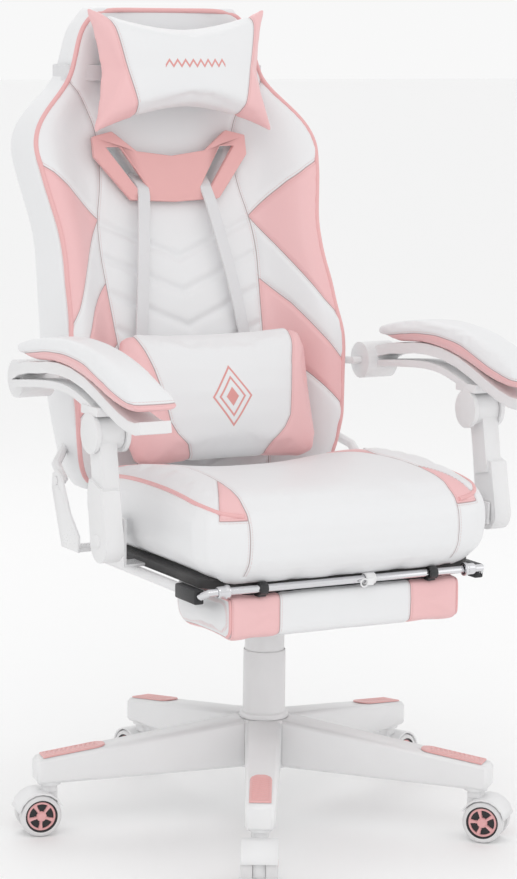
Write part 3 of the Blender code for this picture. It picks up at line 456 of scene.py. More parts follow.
SIDES = ("left", "right")
dress(["star_base"], white_plastic, 0.0025, 3)
dress([f"caster_fork_{i}" for i in range(1, 6)], white_plastic, 0.0010)
dress([f"arm_frame_{s}" for s in SIDES] + [f"arm_post_{s}" for s in SIDES], white_plastic,
      0.0018, 3)
dress(["gas_cylinder", "tilt_housing", "seat_plate", "pad_plate"], black_steel, 0.0008)
dress(["back_frame"] + [f"{n}_{s}" for n in ("hinge_bracket", "arm_bracket") for s in SIDES],
      white_paint, 0.0008)
dress(["gas_piston", "footrest_frame", "rod_nut_left", "rod_nut_right"], chrome, 0.0004)
dress([f"footrest_rail_{s}" for s in SIDES], white_paint, 0.0005)
dress(["tension_knob", "height_lever", "recline_lever", "rail_block_left", "rail_block_right"],
      black_plastic, 0.0008)
dress(["seat_board"], dust_cloth, 0.0015)
dress(["belt_trim"], pink_plastic, 0.0018, 3)
dress(["rod_clip"], white_plastic, 0.0004)
print("hard pieces dressed")

# %% [markdown]
# ## Padding
# A stuffed piece starts as a closed solid. It is rebuilt from small even cells, blown up a little
# by a cloth simulation so that its faces crown, and smoothed. How far a point may move is capped.
# Seams come last: each point knows its distance to them, and is pulled in where thread holds it.


# %% Padding helpers
def cells_of(made, size):
    remesh = made.modifiers.new("Cells", "REMESH")
    remesh.mode = "VOXEL"
    remesh.voxel_size = size
    return settle(made)


def points_of(mesh):
    values = np.empty(len(mesh.vertices) * 3, np.float32)
    mesh.vertices.foreach_get("co", values)
    return values.reshape(-1, 3).astype(float)


def normals_of(mesh):
    values = np.empty(len(mesh.vertices) * 3, np.float32)
    mesh.vertex_normals.foreach_get("vector", values)
    return values.reshape(-1, 3).astype(float)


def move_points(mesh, places):
    mesh.vertices.foreach_set("co", places.astype(np.float32).ravel())
    mesh.update()


def relax(made, rounds, factor=0.5):
    smooth = made.modifiers.new("Relax", "SMOOTH")
    smooth.iterations = rounds
    smooth.factor = factor
    return settle(made)


def plump(made, shrink, cap, pressure=4.0):
    """Blows the closed mesh up as cloth, from a slightly smaller shape."""
    start = points_of(made.data) - normals_of(made.data) * shrink
    move_points(made.data, start)
    cloth = made.modifiers.new("Cloth", "CLOTH")
    cloth.settings.use_pressure = True
    cloth.settings.uniform_pressure_force = pressure
    cloth.settings.effector_weights.gravity = 0
    cloth.point_cache.frame_end = 20
    for number in range(1, 21):
        scene.frame_set(number)
    settle(made)
    scene.frame_set(1)
    moved = points_of(made.data) - start
    length = np.linalg.norm(moved, axis=1, keepdims=True)
    move_points(made.data, start + moved * np.minimum(1, cap / np.maximum(length, 1e-9)))
    return made


def finer(made):
    divide = made.modifiers.new("Finer", "SUBSURF")
    divide.levels = divide.render_levels = 1
    return settle(made)


def sew(made, fields, depth=0.0022, width=0.0045):
    """Stores the seam distances on the points and pulls the cover in along them."""
    places, normals = points_of(made.data), normals_of(made.data)
    found = fields(places, normals)
    pull = np.zeros(len(places))
    for name in ("into_pink", "seam", "channel"):
        value = found.get(name, np.full(len(places), 1.0 if name != "into_pink" else -1.0))
        stored = made.data.attributes.new(name, "FLOAT", "POINT")
        stored.data.foreach_set("value", value.astype(np.float32))
        deep, wide = (0.0045, 0.0065) if name == "channel" else (depth, width)
        pull = np.maximum(pull, deep * np.exp(-(value / wide) ** 2))
    move_points(made.data, places - normals * pull[:, None])
    made.data.shade_smooth()
    return made


def copy_of(node, name, material):
    """A new piece with a CAD node's mesh, welded, to be padded and then ride on its body."""
    data = bmesh.new()
    data.from_mesh(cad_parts[node].data)
    bmesh.ops.remove_doubles(data, verts=data.verts, dist=0.00002)
    mesh = bpy.data.meshes.new(name)
    data.to_mesh(mesh)
    data.free()
    mesh.materials.clear()
    mesh.materials.append(material)
    made = bpy.data.objects.new(name, mesh)
    scene.collection.objects.link(made)
    return made


def keep_material(made, material):
    made.data.materials.clear()
    made.data.materials.append(material)


# %% [markdown]
# ## The backrest
# The back is a tall shell of foam: a flat centre panel, and bolsters that rise towards the
# shoulders and hips. Its width, depth and the rise of the bolsters change with height, so each is
# a short table. The shell is lofted from those tables, then rebuilt from small cells.

# %% Backrest tables
PANEL_Y = ((0.48, 0.196), (0.60, 0.222), (0.70, 0.250), (0.80, 0.284), (0.90, 0.320),
           (1.00, 0.350), (1.10, 0.362), (1.25, 0.362))
RISE = ((0.48, 0.006), (0.60, 0.050), (0.735, 0.072), (0.85, 0.064), (0.99, 0.058),
        (1.10, 0.018), (1.25, 0.010))
DEPTH = ((0.48, 0.082), (0.60, 0.084), (0.80, 0.078), (1.00, 0.076), (1.10, 0.072), (1.25, 0.064))
HALF = ((0.480, 0.195), (0.495, 0.212), (0.52, 0.226), (0.60, 0.238), (0.70, 0.243), (0.78, 0.237),
        (0.86, 0.230), (0.90, 0.234), (0.94, 0.243), (1.00, 0.253), (1.03, 0.248), (1.06, 0.226),
        (1.085, 0.196), (1.11, 0.170), (1.15, 0.161), (1.19, 0.151), (1.208, 0.138), (1.222, 0.114))


def soft_table(rows, at):
    """The table's reading, averaged over 3 cm, so that it has no corners."""
    spread = (-0.018, -0.009, 0.0, 0.009, 0.018)
    return sum(reading(rows, at + step) for step in spread) / len(spread)


def back_front(x, z):
    share = np.abs(x) / soft_table(HALF, z)
    return soft_table(PANEL_Y, z) - soft_table(RISE, z) * smooth_step(0.56, 0.94, share)


# %% Backrest shell
def back_shell():
    heights = np.concatenate([np.linspace(0.488, 0.53, 6), np.linspace(0.545, 1.185, 51),
                              np.linspace(1.192, 1.2215, 6)])
    points, ring = [], 0
    for z in heights:
        half = float(soft_table(HALF, z))
        rear_middle = float(soft_table(PANEL_Y, z) + soft_table(DEPTH, z))
        row = [(share * half * 0.985, float(back_front(share * half, z)), z)
               for share in np.linspace(-1, 1, 41)]
        rear = [(share * half * 0.95, rear_middle - 0.014 * float(smooth_step(0.6, 1.0, abs(share))), z)
                for share in np.linspace(1, -1, 25)]
        start, end = row[-1], rear[0]
        sides = [(half * (0.985 + 0.02 * math.sin(math.pi * t)), start[1] + (end[1] - start[1]) * t, z)
                 for t in (0.2, 0.4, 0.6, 0.8)]
        row += sides + rear + [(-x, y, z) for x, y, _ in sides[::-1]]
        points += row
        ring = len(row)
    faces = []
    for level in range(len(heights) - 1):
        for k in range(ring):
            after = (k + 1) % ring
            faces.append((level * ring + k, level * ring + after,
                          (level + 1) * ring + after, (level + 1) * ring + k))
    top = (len(heights) - 1) * ring
    faces += [tuple(range(ring))[::-1], tuple(range(top, top + ring))]
    return piece("backrest_cover", points, faces, panel_leather, None)


back = back_shell()
SLOT = ((0.113, 1.007), (0.087, 1.007), (0.043, 0.938), (0.066, 0.938))
for side in (-1, 1):
    corners = [(side * x, y, z) for y in (0.1, 0.6) for x, z in SLOT]
    cutter = piece(f"slot_cutter_{side}", corners, [(0, 1, 2, 3), (7, 6, 5, 4), (0, 4, 5, 1),
                   (1, 5, 6, 2), (2, 6, 7, 3), (3, 7, 4, 0)], panel_leather, None, smooth=False)
    clean(cutter)
    cut = back.modifiers.new("Slot", "BOOLEAN")
    cut.operation = "DIFFERENCE"
    cut.object = cutter
settle(back)
for side in (-1, 1):
    bpy.data.objects.remove(bpy.data.objects[f"slot_cutter_{side}"])
cells_of(back, 0.0055)
relax(back, 5)
print("backrest shell:", len(back.data.vertices), "points")

# %% [markdown]
# The back's panels are symmetric. A quilted centre runs from the hips to the neck. Beside it, from
# the top: a white shoulder, a pink wedge, a white stripe, a pink stripe and a white corner. Four
# lines divide them, and the distance to the nearest is what the leather needs.

# %% Backrest seams
CENTRE = ((0.48, 0.112), (0.60, 0.120), (0.72, 0.129), (0.80, 0.134), (0.84, 0.1365), (0.89, 0.134),
          (0.95, 0.120), (1.00, 0.116), (1.03, 0.120), (1.06, 0.131), (1.09, 0.150), (1.12, 0.185))
WEDGE_TOP = ((0.10, 0.885), (0.134, 0.896), (0.160, 0.922), (0.190, 0.950), (0.220, 0.972), (0.260, 0.994))
WEDGE_LOW = ((0.10, 0.965), (0.134, 0.891), (0.160, 0.852), (0.191, 0.802), (0.212, 0.768), (0.250, 0.722))
STRIPE_LOW = ((0.10, 0.835), (0.134, 0.798), (0.170, 0.760), (0.200, 0.716), (0.250, 0.652))
BAND_LOW = ((0.10, 0.735), (0.130, 0.704), (0.184, 0.650), (0.250, 0.580))


def back_fields(places, normals):
    x, y, z = np.abs(places[:, 0]), places[:, 1], places[:, 2]
    border = x - soft_table(CENTRE, z)
    lines = [reading(rows, x) for rows in (BAND_LOW, STRIPE_LOW, WEDGE_LOW, WEDGE_TOP)]
    slant = 0.78
    stripe = np.minimum(z - lines[0], lines[1] - z)
    wedge = np.minimum(z - lines[2], lines[3] - z)
    pink = np.maximum(stripe, wedge) * slant
    pink = np.minimum(pink, border)
    front = back_front(places[:, 0], z)
    facing = y < front + 0.022
    pink = np.minimum(pink, front + 0.006 - y)
    on_front = facing & (normals[:, 1] < 0.35)
    seam = np.where(on_front, border, 0.05)
    drop = 0.055 * x / 0.13
    level = (z - drop - 0.833) / 0.0527
    wave = np.abs(np.mod(level + 1.0, 2.0) - 1.0)
    channel = np.minimum(wave, 1 - wave) * 0.0527 * 0.92
    quilted = on_front & (border < -0.002) & (level < 0.35)
    channel = np.where(quilted, channel, 0.05)
    return {"into_pink": pink, "seam": seam, "channel": channel}


finer(back)
keep_material(back, panel_leather)
sew(back, back_fields, depth=0.0028, width=0.0060)
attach(back, "backrest")
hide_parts("back_cushion")
back_tree = surface_of(back)
print("backrest sewn:", len(back.data.vertices), "points")

# %% [markdown]
# Piping is a cord in a leather strip, sewn into the joint between the front and the side. It
# follows the front's outline, and each of its points is set on the cover's own surface.


# %% Backrest piping
def lay_on(tree, path, sink=0.0, closed=False):
    """Moves each point of the path to the surface, and sink deeper, then evens the line out."""
    laid = []
    for point in path:
        place, normal, _, _ = tree.find_nearest(Vector(point))
        laid.append(place - normal * sink)
    for _ in range(4):
        evened = [(laid[k - 1] + 2 * laid[k] + laid[(k + 1) % len(laid)]) / 4 for k in range(len(laid))]
        if not closed:
            evened[0], evened[-1] = laid[0], laid[-1]
        laid = evened
    return laid


outline = []
for z in np.concatenate([np.linspace(0.497, 1.175, 88), np.linspace(1.182, 1.214, 8)]):
    half = float(soft_table(HALF, z)) * 0.985
    outline.append(Vector((half, float(back_front(half, z)) + 0.001, z)))
rim = [Vector((-p.x, p.y, p.z)) for p in outline[::-1]]
top_edge = [Vector((x, 0.352, 1.2205)) for x in np.linspace(outline[-1].x, -outline[-1].x, 14)[1:-1]]
bottom_edge = [Vector((x, 0.194, 0.4895)) for x in np.linspace(-0.195, 0.195, 14)]
tube("backrest_piping", lay_on(back_tree, outline + top_edge + rim + bottom_edge, 0.0005, True), 0.0038,
     piping_pink, "backrest", closed=True)
print("piping laid")

# %% [markdown]
# ## The seat
# The seat cushion is thick, with a rounded front and low bolsters. A centre panel runs over the
# front edge. Pink shows as a small patch at the front corners and as a stripe beside the centre.


# %% Seat cushion
SEAT_RIM = ((-0.287, 0.177), (-0.268, 0.210), (-0.225, 0.236), (-0.16, 0.248), (-0.05, 0.252),
            (0.08, 0.250), (0.145, 0.240))                          # y, x of the piping from above


def seat_fields(places, normals):
    x, y, z = np.abs(places[:, 0]), places[:, 1], places[:, 2]
    centre = soft_table(((-0.27, 0.172), (-0.20, 0.168), (-0.05, 0.160), (0.16, 0.163)), y)
    border = x - centre
    patch = np.minimum(border, (-0.185 - y) * 0.9 - (x - 0.178) * 1.9)
    stripe = np.minimum(border, 0.048 * smooth_step(-0.07, 0.12, y) - border)
    inside = np.minimum(reading(SEAT_RIM, y) - x, y + 0.2885)
    above = np.minimum(inside + 0.001, z - 0.515)
    up = normals[:, 2] > 0.42
    pink = np.minimum(np.maximum(patch, stripe), above)
    front = (normals[:, 1] < -0.5) | up
    return {"into_pink": pink, "seam": np.where(front & (z > 0.43), border, 0.05)}


seat = copy_of("seat_cushion", "seat_cover", panel_leather)
cells_of(seat, 0.006)
plump(seat, 0.001, 0.006)
relax(seat, 3)
finer(seat)
keep_material(seat, panel_leather)
places = points_of(seat.data)
base_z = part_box("seat_cushion")[0].z
places[:, 2] = np.maximum(places[:, 2], base_z)
outside = np.maximum(np.abs(places[:, 0]) - 0.226, -0.240 - places[:, 1])
skirt = (places[:, 2] < base_z + 0.012) & (outside > 0)
places[skirt, 2] -= 0.0065 * (1 - (places[skirt, 2] - base_z) / 0.012)
move_points(seat.data, places)
sew(seat, seat_fields, depth=0.0020, width=0.0040)
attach(seat, "seat")
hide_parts("seat_cushion")
seat_tree = surface_of(seat)
for side, name in ((-1, "left"), (1, "right")):
    knots = [(0.240, 0.145, 0.545), (0.250, 0.08, 0.556), (0.252, -0.05, 0.560), (0.248, -0.16, 0.557),
             (0.236, -0.225, 0.549), (0.210, -0.268, 0.538), (0.177, -0.287, 0.531)]
    run = smooth_line([(side * x, y, z) for x, y, z in knots], 40)
    tube(f"seat_piping_{name}", lay_on(seat_tree, run, 0.0003), 0.0033, piping_pink, "seat")
print("seat:", len(seat.data.vertices), "points")

# %% [markdown]
# ## Pillows
# Both pillows are stuffed covers with a white face and pink sides. The head pillow is pulled out
# at its corners like a bow tie. The lumbar pillow's face narrows towards the bottom.


# %% Head and lumbar pillow
def head_fields(places, normals):
    x, z = np.abs(places[:, 0]), places[:, 2]
    side = x - reading(((1.03, 0.083), (1.05, 0.088), (1.14, 0.110), (1.24, 0.131)), z)
    return {"into_pink": side}


def lumbar_fields(places, normals):
    x, z = np.abs(places[:, 0]), places[:, 2]
    side = x - reading(((0.51, 0.060), (0.545, 0.066), (0.562, 0.074), (0.582, 0.093), (0.600, 0.104),
                        (0.63, 0.109), (0.68, 0.120), (0.74, 0.139)), z)
    return {"into_pink": side * 0.9}


def bow_tie(name):
    """Two crowned faces that meet at a rim. The rim dips in the middle, above and below."""
    steps, rows, faces, points = 36, 24, [], []
    for front in (1, -1):
        for i in range(steps + 1):
            u = -1 + 2 * i / steps
            share = abs(u) ** 1.7
            high, low = 1.196 + 0.034 * share, 1.062 - 0.042 * share
            for j in range(rows + 1):
                v = -1 + 2 * j / rows
                half = 0.161 - 0.018 * (1 - abs(v)) ** 0.8
                thick = (0.0045 + 0.0395 * ((1 - u ** 4) * (1 - v ** 4)) ** 0.62) * (1 - 0.42 * share)
                z = (high + low) / 2 + (high - low) / 2 * v
                lean = 0.289 + (z - 1.127) * math.tan(math.radians(8)) + 0.012 * share
                points.append((u * half, lean - front * thick, z))
    across, side = rows + 1, (steps + 1) * (rows + 1)
    for i in range(steps):
        for j in range(rows):
            quad = (i * across + j, (i + 1) * across + j, (i + 1) * across + j + 1, i * across + j + 1)
            faces += [quad, tuple(k + side for k in quad[::-1])]
    rim = ([(i, 0) for i in range(steps)] + [(steps, j) for j in range(rows)]
           + [(i, rows) for i in range(steps, 0, -1)] + [(0, j) for j in range(rows, 0, -1)])
    rim = [i * across + j for i, j in rim]
    for k, here in enumerate(rim):
        there = rim[(k + 1) % len(rim)]
        faces.append((here, here + side, there + side, there))
    return piece(name, points, faces, panel_leather, None)


def pillow(node, name, fields, material):
    made = bow_tie(name) if node == "head_pillow" else copy_of(node, name, material)
    cells_of(made, 0.005)
    plump(made, 0.001, 0.007, 6.0)
    relax(made, 2)
    finer(made)
    keep_material(made, material)
    sew(made, fields, depth=0.0022, width=0.0042)
    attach(made, "backrest")
    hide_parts(node)
    print(name, len(made.data.vertices), "points")
    return made


head = pillow("head_pillow", "head_pillow_cover", head_fields, head_leather)
lumbar = pillow("lumbar_pillow", "lumbar_pillow_cover", lumbar_fields, emblem_leather)


# %% [markdown]
# ## Footrest pad and arm pads
# The footrest pad is a thick bar with pink bands near both ends. The arm pads are long and
# crowned, white on top with a pink band along the bottom.


# %% Footrest pad and arm pads
def footrest_fields(places, normals):
    x = np.abs(places[:, 0])
    return {"into_pink": np.minimum(x - 0.108, 0.1870 - x)}


def bar(name, half, low, high, near, far, round_by):
    """A block with rounded long edges: its section is swept across from side to side."""
    section = []
    for corner_y, corner_z, start, radius in ((far - round_by[0], low + round_by[0], 270, round_by[0]),
                                              (far - round_by[1], high - round_by[1], 0, round_by[1]),
                                              (near + round_by[2], high - round_by[2], 90, round_by[2]),
                                              (near + round_by[3], low + round_by[3], 180, round_by[3])):
        for step in range(8):
            turn = math.radians(start + 90 * step / 7)
            section.append((corner_y + radius * math.cos(turn), corner_z + radius * math.sin(turn)))
    count, stations = len(section), np.linspace(-half, half, 41)
    points = [(x, y, z) for x in stations for y, z in section]
    faces = [(i * count + k, i * count + (k + 1) % count, (i + 1) * count + (k + 1) % count,
              (i + 1) * count + k) for i in range(len(stations) - 1) for k in range(count)]
    faces += [tuple(range(count))[::-1], tuple(range(len(points) - count, len(points)))]
    return piece(name, points, faces, panel_leather, None)


footrest = bar("footrest_pad_cover", 0.1930, 0.3385, 0.4030, -0.2505, -0.0745, (0.030, 0.010, 0.010, 0.012))
cells_of(footrest, 0.0045)
plump(footrest, 0.0005, 0.003)
relax(footrest, 2)
finer(footrest)
keep_material(footrest, panel_leather)
sew(footrest, footrest_fields, depth=0.0014, width=0.0030)
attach(footrest, "footrest_pad")
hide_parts("footrest_pad")
footrest_tree = surface_of(footrest)
for side, name in ((-1, "left"), (1, "right")):
    knots = [(side * x, y, z) for x, y, z in (
        (0.1912, -0.236, 0.341), (0.1920, -0.2475, 0.350), (0.1920, -0.2485, 0.372),
        (0.1920, -0.2470, 0.394), (0.1912, -0.236, 0.401), (0.1912, -0.170, 0.4015))]
    tube(f"footrest_piping_{name}", lay_on(footrest_tree, smooth_line(knots, 30)), 0.0022, piping_pink,
         "footrest_pad")

UNDER = ((-0.262, 0.6665), (-0.232, 0.6625), (-0.191, 0.6695), (-0.138, 0.6860), (-0.081, 0.7045),
         (-0.016, 0.7150), (0.045, 0.7150), (0.093, 0.7095), (0.170, 0.7010))


ARM_BAND = ((-0.262, 0.020), (-0.20, 0.024), (-0.10, 0.021), (0.0, 0.013), (0.17, 0.006))


def arm_fields(places, normals):
    low = soft_table(UNDER, places[:, 1])
    return {"into_pink": low + soft_table(ARM_BAND, places[:, 1]) - places[:, 2]}


for name in SIDES:
    pad = copy_of(f"arm_pad_{name}", f"arm_pad_cover_{name}", panel_leather)
    cells_of(pad, 0.0045)
    places = points_of(pad.data)
    middle = (places[:, 0].max() + places[:, 0].min()) / 2
    tip = np.clip((-0.205 - places[:, 1]) / 0.055, 0, 1)
    places[:, 0] = middle + (places[:, 0] - middle) * (1 + 0.30 * tip ** 2)
    places[:, 1] -= 0.005 * tip
    move_points(pad.data, places)
    plump(pad, 0.003, 0.005)
    relax(pad, 2)
    finer(pad)
    keep_material(pad, panel_leather)
    sew(pad, arm_fields, depth=0.0016, width=0.0032)
    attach(pad, f"arm_{name}")
    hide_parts(f"arm_pad_{name}")
print("footrest pad and arm pads padded")


# %% [markdown]
# ## Arm caps
# A small round cap closes the screw hole low on each post. It is a separate moulding, turned
# from a profile and pressed in flush with the face.


# %% Arm caps
def cap(name, body, centre, radius, side):
    profile = [(0.0, 0.0020), (radius - 0.0020, 0.0020), (radius - 0.0006, 0.0013), (radius, 0.0),
               (radius, -0.0030)]
    place = Matrix.Translation(centre) @ Matrix.Rotation(side * math.pi / 2, 4, "Y")
    return lathe(name, profile, white_plastic, body, place)


for side, name in ((-1, "left"), (1, "right")):
    post_low, post_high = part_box(f"arm_post_{name}")
    post_x = post_low.x if side < 0 else post_high.x
    cap(f"post_cap_{name}", f"post_{name}", (post_x, post_low.y + 0.032, post_low.z + 0.030), 0.0105, side)
print("arm caps made")


# %% [markdown]
# ## Straps
# Flat straps carry the lumbar pillow from the trim's slots, and a wider one holds the head pillow.
# A strap is a thin ribbon with a little thickness, so it is built directly from its centre line.


# %% Straps
def ribbon(name, line, half, thick, across, body, material, closed=False):
    """A strap along line. across gives its width's direction at each point."""
    points, faces, count = [], [], len(line)
    for k, point in enumerate(line):
        after = line[(k + 1) % count] if closed or k + 1 < count else line[k]
        before = line[k - 1] if closed or k else line[k]
        along = (after - before).normalized()
        wide = Vector(across)
        wide = (wide - along * wide.dot(along)).normalized()
        out = along.cross(wide).normalized()
        for u, v in ((-1, -1), (-0.94, 0.2), (-0.9, 1), (0.9, 1), (0.94, 0.2), (1, -1)):
            points.append(point + wide * half * u + out * thick / 2 * v)
    for k in range(count if closed else count - 1):
        here, there = k * 6, (k + 1) % count * 6
        faces += [(here + j, there + j, there + (j + 1) % 6, here + (j + 1) % 6) for j in range(6)]
    if not closed:
        faces += [tuple(range(6)), tuple(range(len(points) - 6, len(points)))[::-1]]
    made = piece(name, points, faces, material, None)
    clean(made)
    made.data.set_sharp_from_angle(angle=math.radians(50))
    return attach(made, body)


for side, name in ((-1, "left"), (1, "right")):
    knots = [(side * 0.058, 0.350, 0.962), (side * 0.056, 0.327, 0.950), (side * 0.0555, 0.3135, 0.936),
             (side * 0.061, 0.300, 0.905), (side * 0.078, 0.266, 0.800), (side * 0.092, 0.243, 0.700),
             (side * 0.096, 0.234, 0.662)]
    made = ribbon(f"lumbar_strap_band_{name}", smooth_line(knots, 36), 0.0105, 0.0020, (1, 0, 0),
                  "backrest", webbing)
    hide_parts(f"lumbar_strap_{name}")

head_z = 1.120
hits = []
for step in range(180):
    turn = math.tau * step / 180
    away = Vector((math.cos(turn), math.sin(turn), 0))
    place = back_tree.ray_cast(Vector((0, 0.385, head_z)), away)[0]
    hits.append((place + away * 0.0022).to_2d())
loop = [Vector((*hits[k], head_z)) for k in convex_hull_2d(hits)]
band = ribbon("head_strap_band", loop, 0.0125, 0.0018, (0, 0, 1), "backrest", webbing,
              closed=True)
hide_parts("head_strap")
print("straps made")

# %% [markdown]
# ## Column
# Two telescoping covers hide the gas lift. They are turned, so a profile says everything.

# %% Column covers
lower = [(0.0306, 0.1577), (0.0368, 0.1577), (0.0371, 0.1590), (0.0371, 0.1620), (0.0364, 0.1650),
         (0.0330, 0.1672), (0.0323, 0.1700), (0.0320, 0.2595), (0.0318, 0.2612), (0.0312, 0.2620),
         (0.0306, 0.2612), (0.0306, 0.1577)]
made = lathe("lower_column_cover", lower, white_plastic, "base")
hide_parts("sleeve_lower")
upper = [(0.0265, 0.2325), (0.0300, 0.2325), (0.0301, 0.3380), (0.0298, 0.3410), (0.0288, 0.3428),
         (0.0145, 0.3430), (0.0145, 0.3395), (0.0265, 0.3390), (0.0265, 0.2325)]
made = lathe("upper_column_cover", upper, white_plastic, "column")
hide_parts("sleeve_upper")
print("column covers turned")

# %% [markdown]
# ## Casters
# Each wheel is a white tyre with a black ring and a pink cap. The cap has five spokes with dark
# pockets between them and a round boss. It is drawn on a grid of rings and spokes: points inside
# a pocket lie deeper, and the faces there are black.

# %% Wheel parts
HEADING, STEM, TRAIL, WHEEL_R = -118.9, 0.335, 0.017, 0.031


def cap_mesh():
    radii = [0.0, 0.0030, 0.0058, 0.0062, 0.0074, 0.0078, 0.0110, 0.0150, 0.0182, 0.0186, 0.0210, 0.0218]
    steps = 100
    points, faces, dark = [], [], []

    def pocket(radius, turn):
        spoke = math.degrees(turn) % 72 - 36
        half = 25 + 3.0 * (radius - 0.0078) / 0.0104
        return 0.0076 < radius < 0.0184 and abs(spoke) < half

    for turn_index in range(steps):
        turn = math.tau * turn_index / steps
        for radius in radii:
            height = 0.0026 - 0.0016 * (radius / 0.0218) ** 2
            if radius < 0.0060:
                height += 0.0010
            if radius > 0.0212:
                height -= 0.0009
            if pocket(radius, turn):
                height = -0.0004
            points.append((radius * math.cos(turn), radius * math.sin(turn), height))
    count = len(radii)
    for turn_index in range(steps):
        here, there = turn_index * count, (turn_index + 1) % steps * count
        for k in range(count - 1):
            faces.append((here + k, there + k, there + k + 1, here + k + 1))
            low = [points[i][2] < 0 for i in faces[-1]]
            dark.append(all(low))
    return points, faces, dark


TYRE = [(0.0040, 0.0000), (0.0285, 0.0000), (0.0302, 0.0006), (0.0311, 0.0022), (0.0314, 0.0080),
        (0.0313, 0.0130), (0.0306, 0.0155), (0.0290, 0.0169), (0.0262, 0.0172), (0.0246, 0.0168)]
RING = [(0.0246, 0.0168), (0.0240, 0.0156), (0.0226, 0.0152), (0.0218, 0.0150), (0.0216, 0.0120),
        (0.0, 0.0120)]
print("wheel parts drawn:", len(TYRE), "and", len(RING), "profile points")

# %% [markdown]
# A caster's two wheels sit side by side on one axle, behind the swivel's stem. Each wheel is turned
# about its own axis and then placed, and the second one is the mirror of the first.

# %% Wheels
cap_points, cap_faces, cap_dark = cap_mesh()
for index in range(1, 6):
    turn = math.radians(HEADING + 72 * (index - 1))
    stem = Matrix.Translation((STEM * math.cos(turn), STEM * math.sin(turn), 0))
    out = stem @ Matrix.Rotation(turn, 4, "Z")
    for label, side in (("a", 1), ("b", -1)):
        axle = out @ Matrix.Translation((TRAIL, side * 0.0093, WHEEL_R))
        place = axle @ Matrix.Rotation(-side * math.pi / 2, 4, "X")
        tyre = lathe(f"tyre_{index}{label}", [(r * 31 / 31.4, h) for r, h in TYRE], wheel_rubber,
                     f"wheels_{index}", place)
        lathe(f"wheel_ring_{index}{label}", RING, black_plastic, f"wheels_{index}", place)
        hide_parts(f"wheel_{index}{label}")
        face = place @ Matrix.Translation((0, 0, 0.0138)) @ Matrix.Rotation(0.3 * index, 4, "Z")
        cap = piece(f"wheel_cap_{index}{label}", [face @ Vector(p) for p in cap_points], cap_faces,
                    cap_pink, None)
        cap.data.materials.append(black_plastic)
        cap.data.polygons.foreach_set("material_index", [int(d) for d in cap_dark])
        clean(cap, SAME_POINT)
        cap.data.set_sharp_from_angle(angle=math.radians(35))
        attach(cap, f"wheels_{index}")
print("wheels made: 10")

# %% [markdown]
# ## Foot grips
# Pink grips sit on the ends of the base's arms, with a raised rim and slanted ribs for the sole.

# %% Foot grips
slope = math.atan2(0.157 - 0.1147, 0.357 - 0.046)
middle = 0.298
top_z = 0.157 + (0.1147 - 0.157) * (middle - 0.046) / (0.357 - 0.046)
for index in range(1, 6):
    turn = math.radians(HEADING + 72 * (index - 1))
    leg = Matrix.Rotation(turn, 4, "Z") @ Matrix.Translation((middle, 0, top_z))
    place = leg @ Matrix.Rotation(slope, 4, "Y")
    columns, rows = 98, 33
    points, faces = [], []
    for i in range(columns):
        x = -0.049 + 0.098 * i / (columns - 1)
        inset = 0.016 - math.sqrt(max(0.016 ** 2 - max(-0.033 - x, 0) ** 2, 1e-8))
        half = max(0.016 - inset, 0.0004)
        for j in range(rows):
            v = -1 + 2 * j / (rows - 1)
            edge = min(half * (1 - abs(v)), 0.049 - abs(x) if x > 0 else 1.0)
            rib = 0.5 + 0.5 * math.cos((x + 0.35 * abs(v) * half) * math.tau / 0.0075)
            inner = edge > 0.0034 and -0.036 < x < 0.044
            height = 0.0028 - 0.0012 * (1 - rib) if inner else 0.0028
            if edge < 0.0009:
                height = 0.0008 + 0.0020 * max(edge, 0) / 0.0009
            points.append(place @ Vector((x, v * half, height)))
    faces = [(i * rows + j, (i + 1) * rows + j, (i + 1) * rows + j + 1, i * rows + j + 1)
             for i in range(columns - 1) for j in range(rows - 1)]
    grip = piece(f"foot_grip_{index}", points, faces, pink_plastic, "base")
    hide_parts(f"foot_pad_{index}")
print("foot grips made: 5")

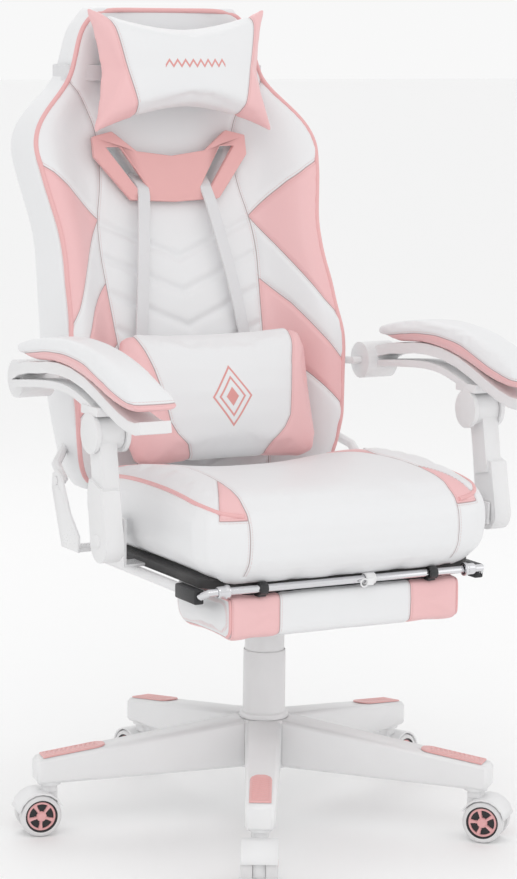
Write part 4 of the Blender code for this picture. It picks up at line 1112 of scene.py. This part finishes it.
# %% [markdown]
# ## Light, floor and camera
# Soft light from all around keeps the white pieces white, and three large lamps shape them. The
# floor is one wide pale plane, which also throws light back up under the seat.

# %% Light and floor
world = bpy.data.worlds.new("studio")
scene.world = world
world.use_nodes = True
world.node_tree.nodes["Background"].inputs["Color"].default_value = (1.0, 1.0, 1.0, 1.0)
world.node_tree.nodes["Background"].inputs["Strength"].default_value = 0.94
LAMPS = (("key", (-1.4, -2.6, 2.9), 1.6, 13.0), ("fill", (2.6, -1.8, 1.6), 1.8, 4.0),
         ("back", (0.6, 2.6, 2.6), 1.6, 6.0))
for name, place, size, power in LAMPS:
    lamp = bpy.data.lights.new(name, "AREA")
    lamp.size = size
    lamp.energy = power
    holder = bpy.data.objects.new(name, lamp)
    scene.collection.objects.link(holder)
    holder.location = place
    holder.rotation_mode = "QUATERNION"
    holder.rotation_quaternion = (Vector((0, 0, 0.6)) - Vector(place)).to_track_quat("-Z", "Y")
floor_paint = finish("floor_paint", (0.96, 0.96, 0.96), 0.7, 300.0, 0.00002, tint=(0.94, 0.94, 0.94))
FLOOR_HALF, FLOOR_Z = 40, -0.0005
corners = [(x * FLOOR_HALF, y * FLOOR_HALF, FLOOR_Z) for x, y in ((-1, -1), (1, -1), (1, 1), (-1, 1))]
floor = piece("floor", corners, [(0, 1, 2, 3)], floor_paint, None)
scene.view_settings.view_transform = "Standard"
print("studio set")

# %% [markdown]
# The camera stands to the chair's left at eye height, far away, with a long lens, so that the
# chair's upright lines stay nearly parallel. It is rolled by a little over half a degree.

# %% Camera
lens = bpy.data.cameras.new("camera")
lens.sensor_width = 36
lens.sensor_fit = "AUTO"
lens.lens = 118.7
camera = bpy.data.objects.new("camera", lens)
scene.collection.objects.link(camera)
camera.location = (-2.041, -3.791, 1.2255)
camera.rotation_mode = "QUATERNION"
looking = Vector((0.4663, 0.8722, -0.1478)).to_track_quat("-Z", "Y")
camera.rotation_quaternion = looking @ Matrix.Rotation(math.radians(0.62), 3, "Z").to_quaternion()
scene.camera = camera
print("camera at", tuple(round(value, 3) for value in camera.location))
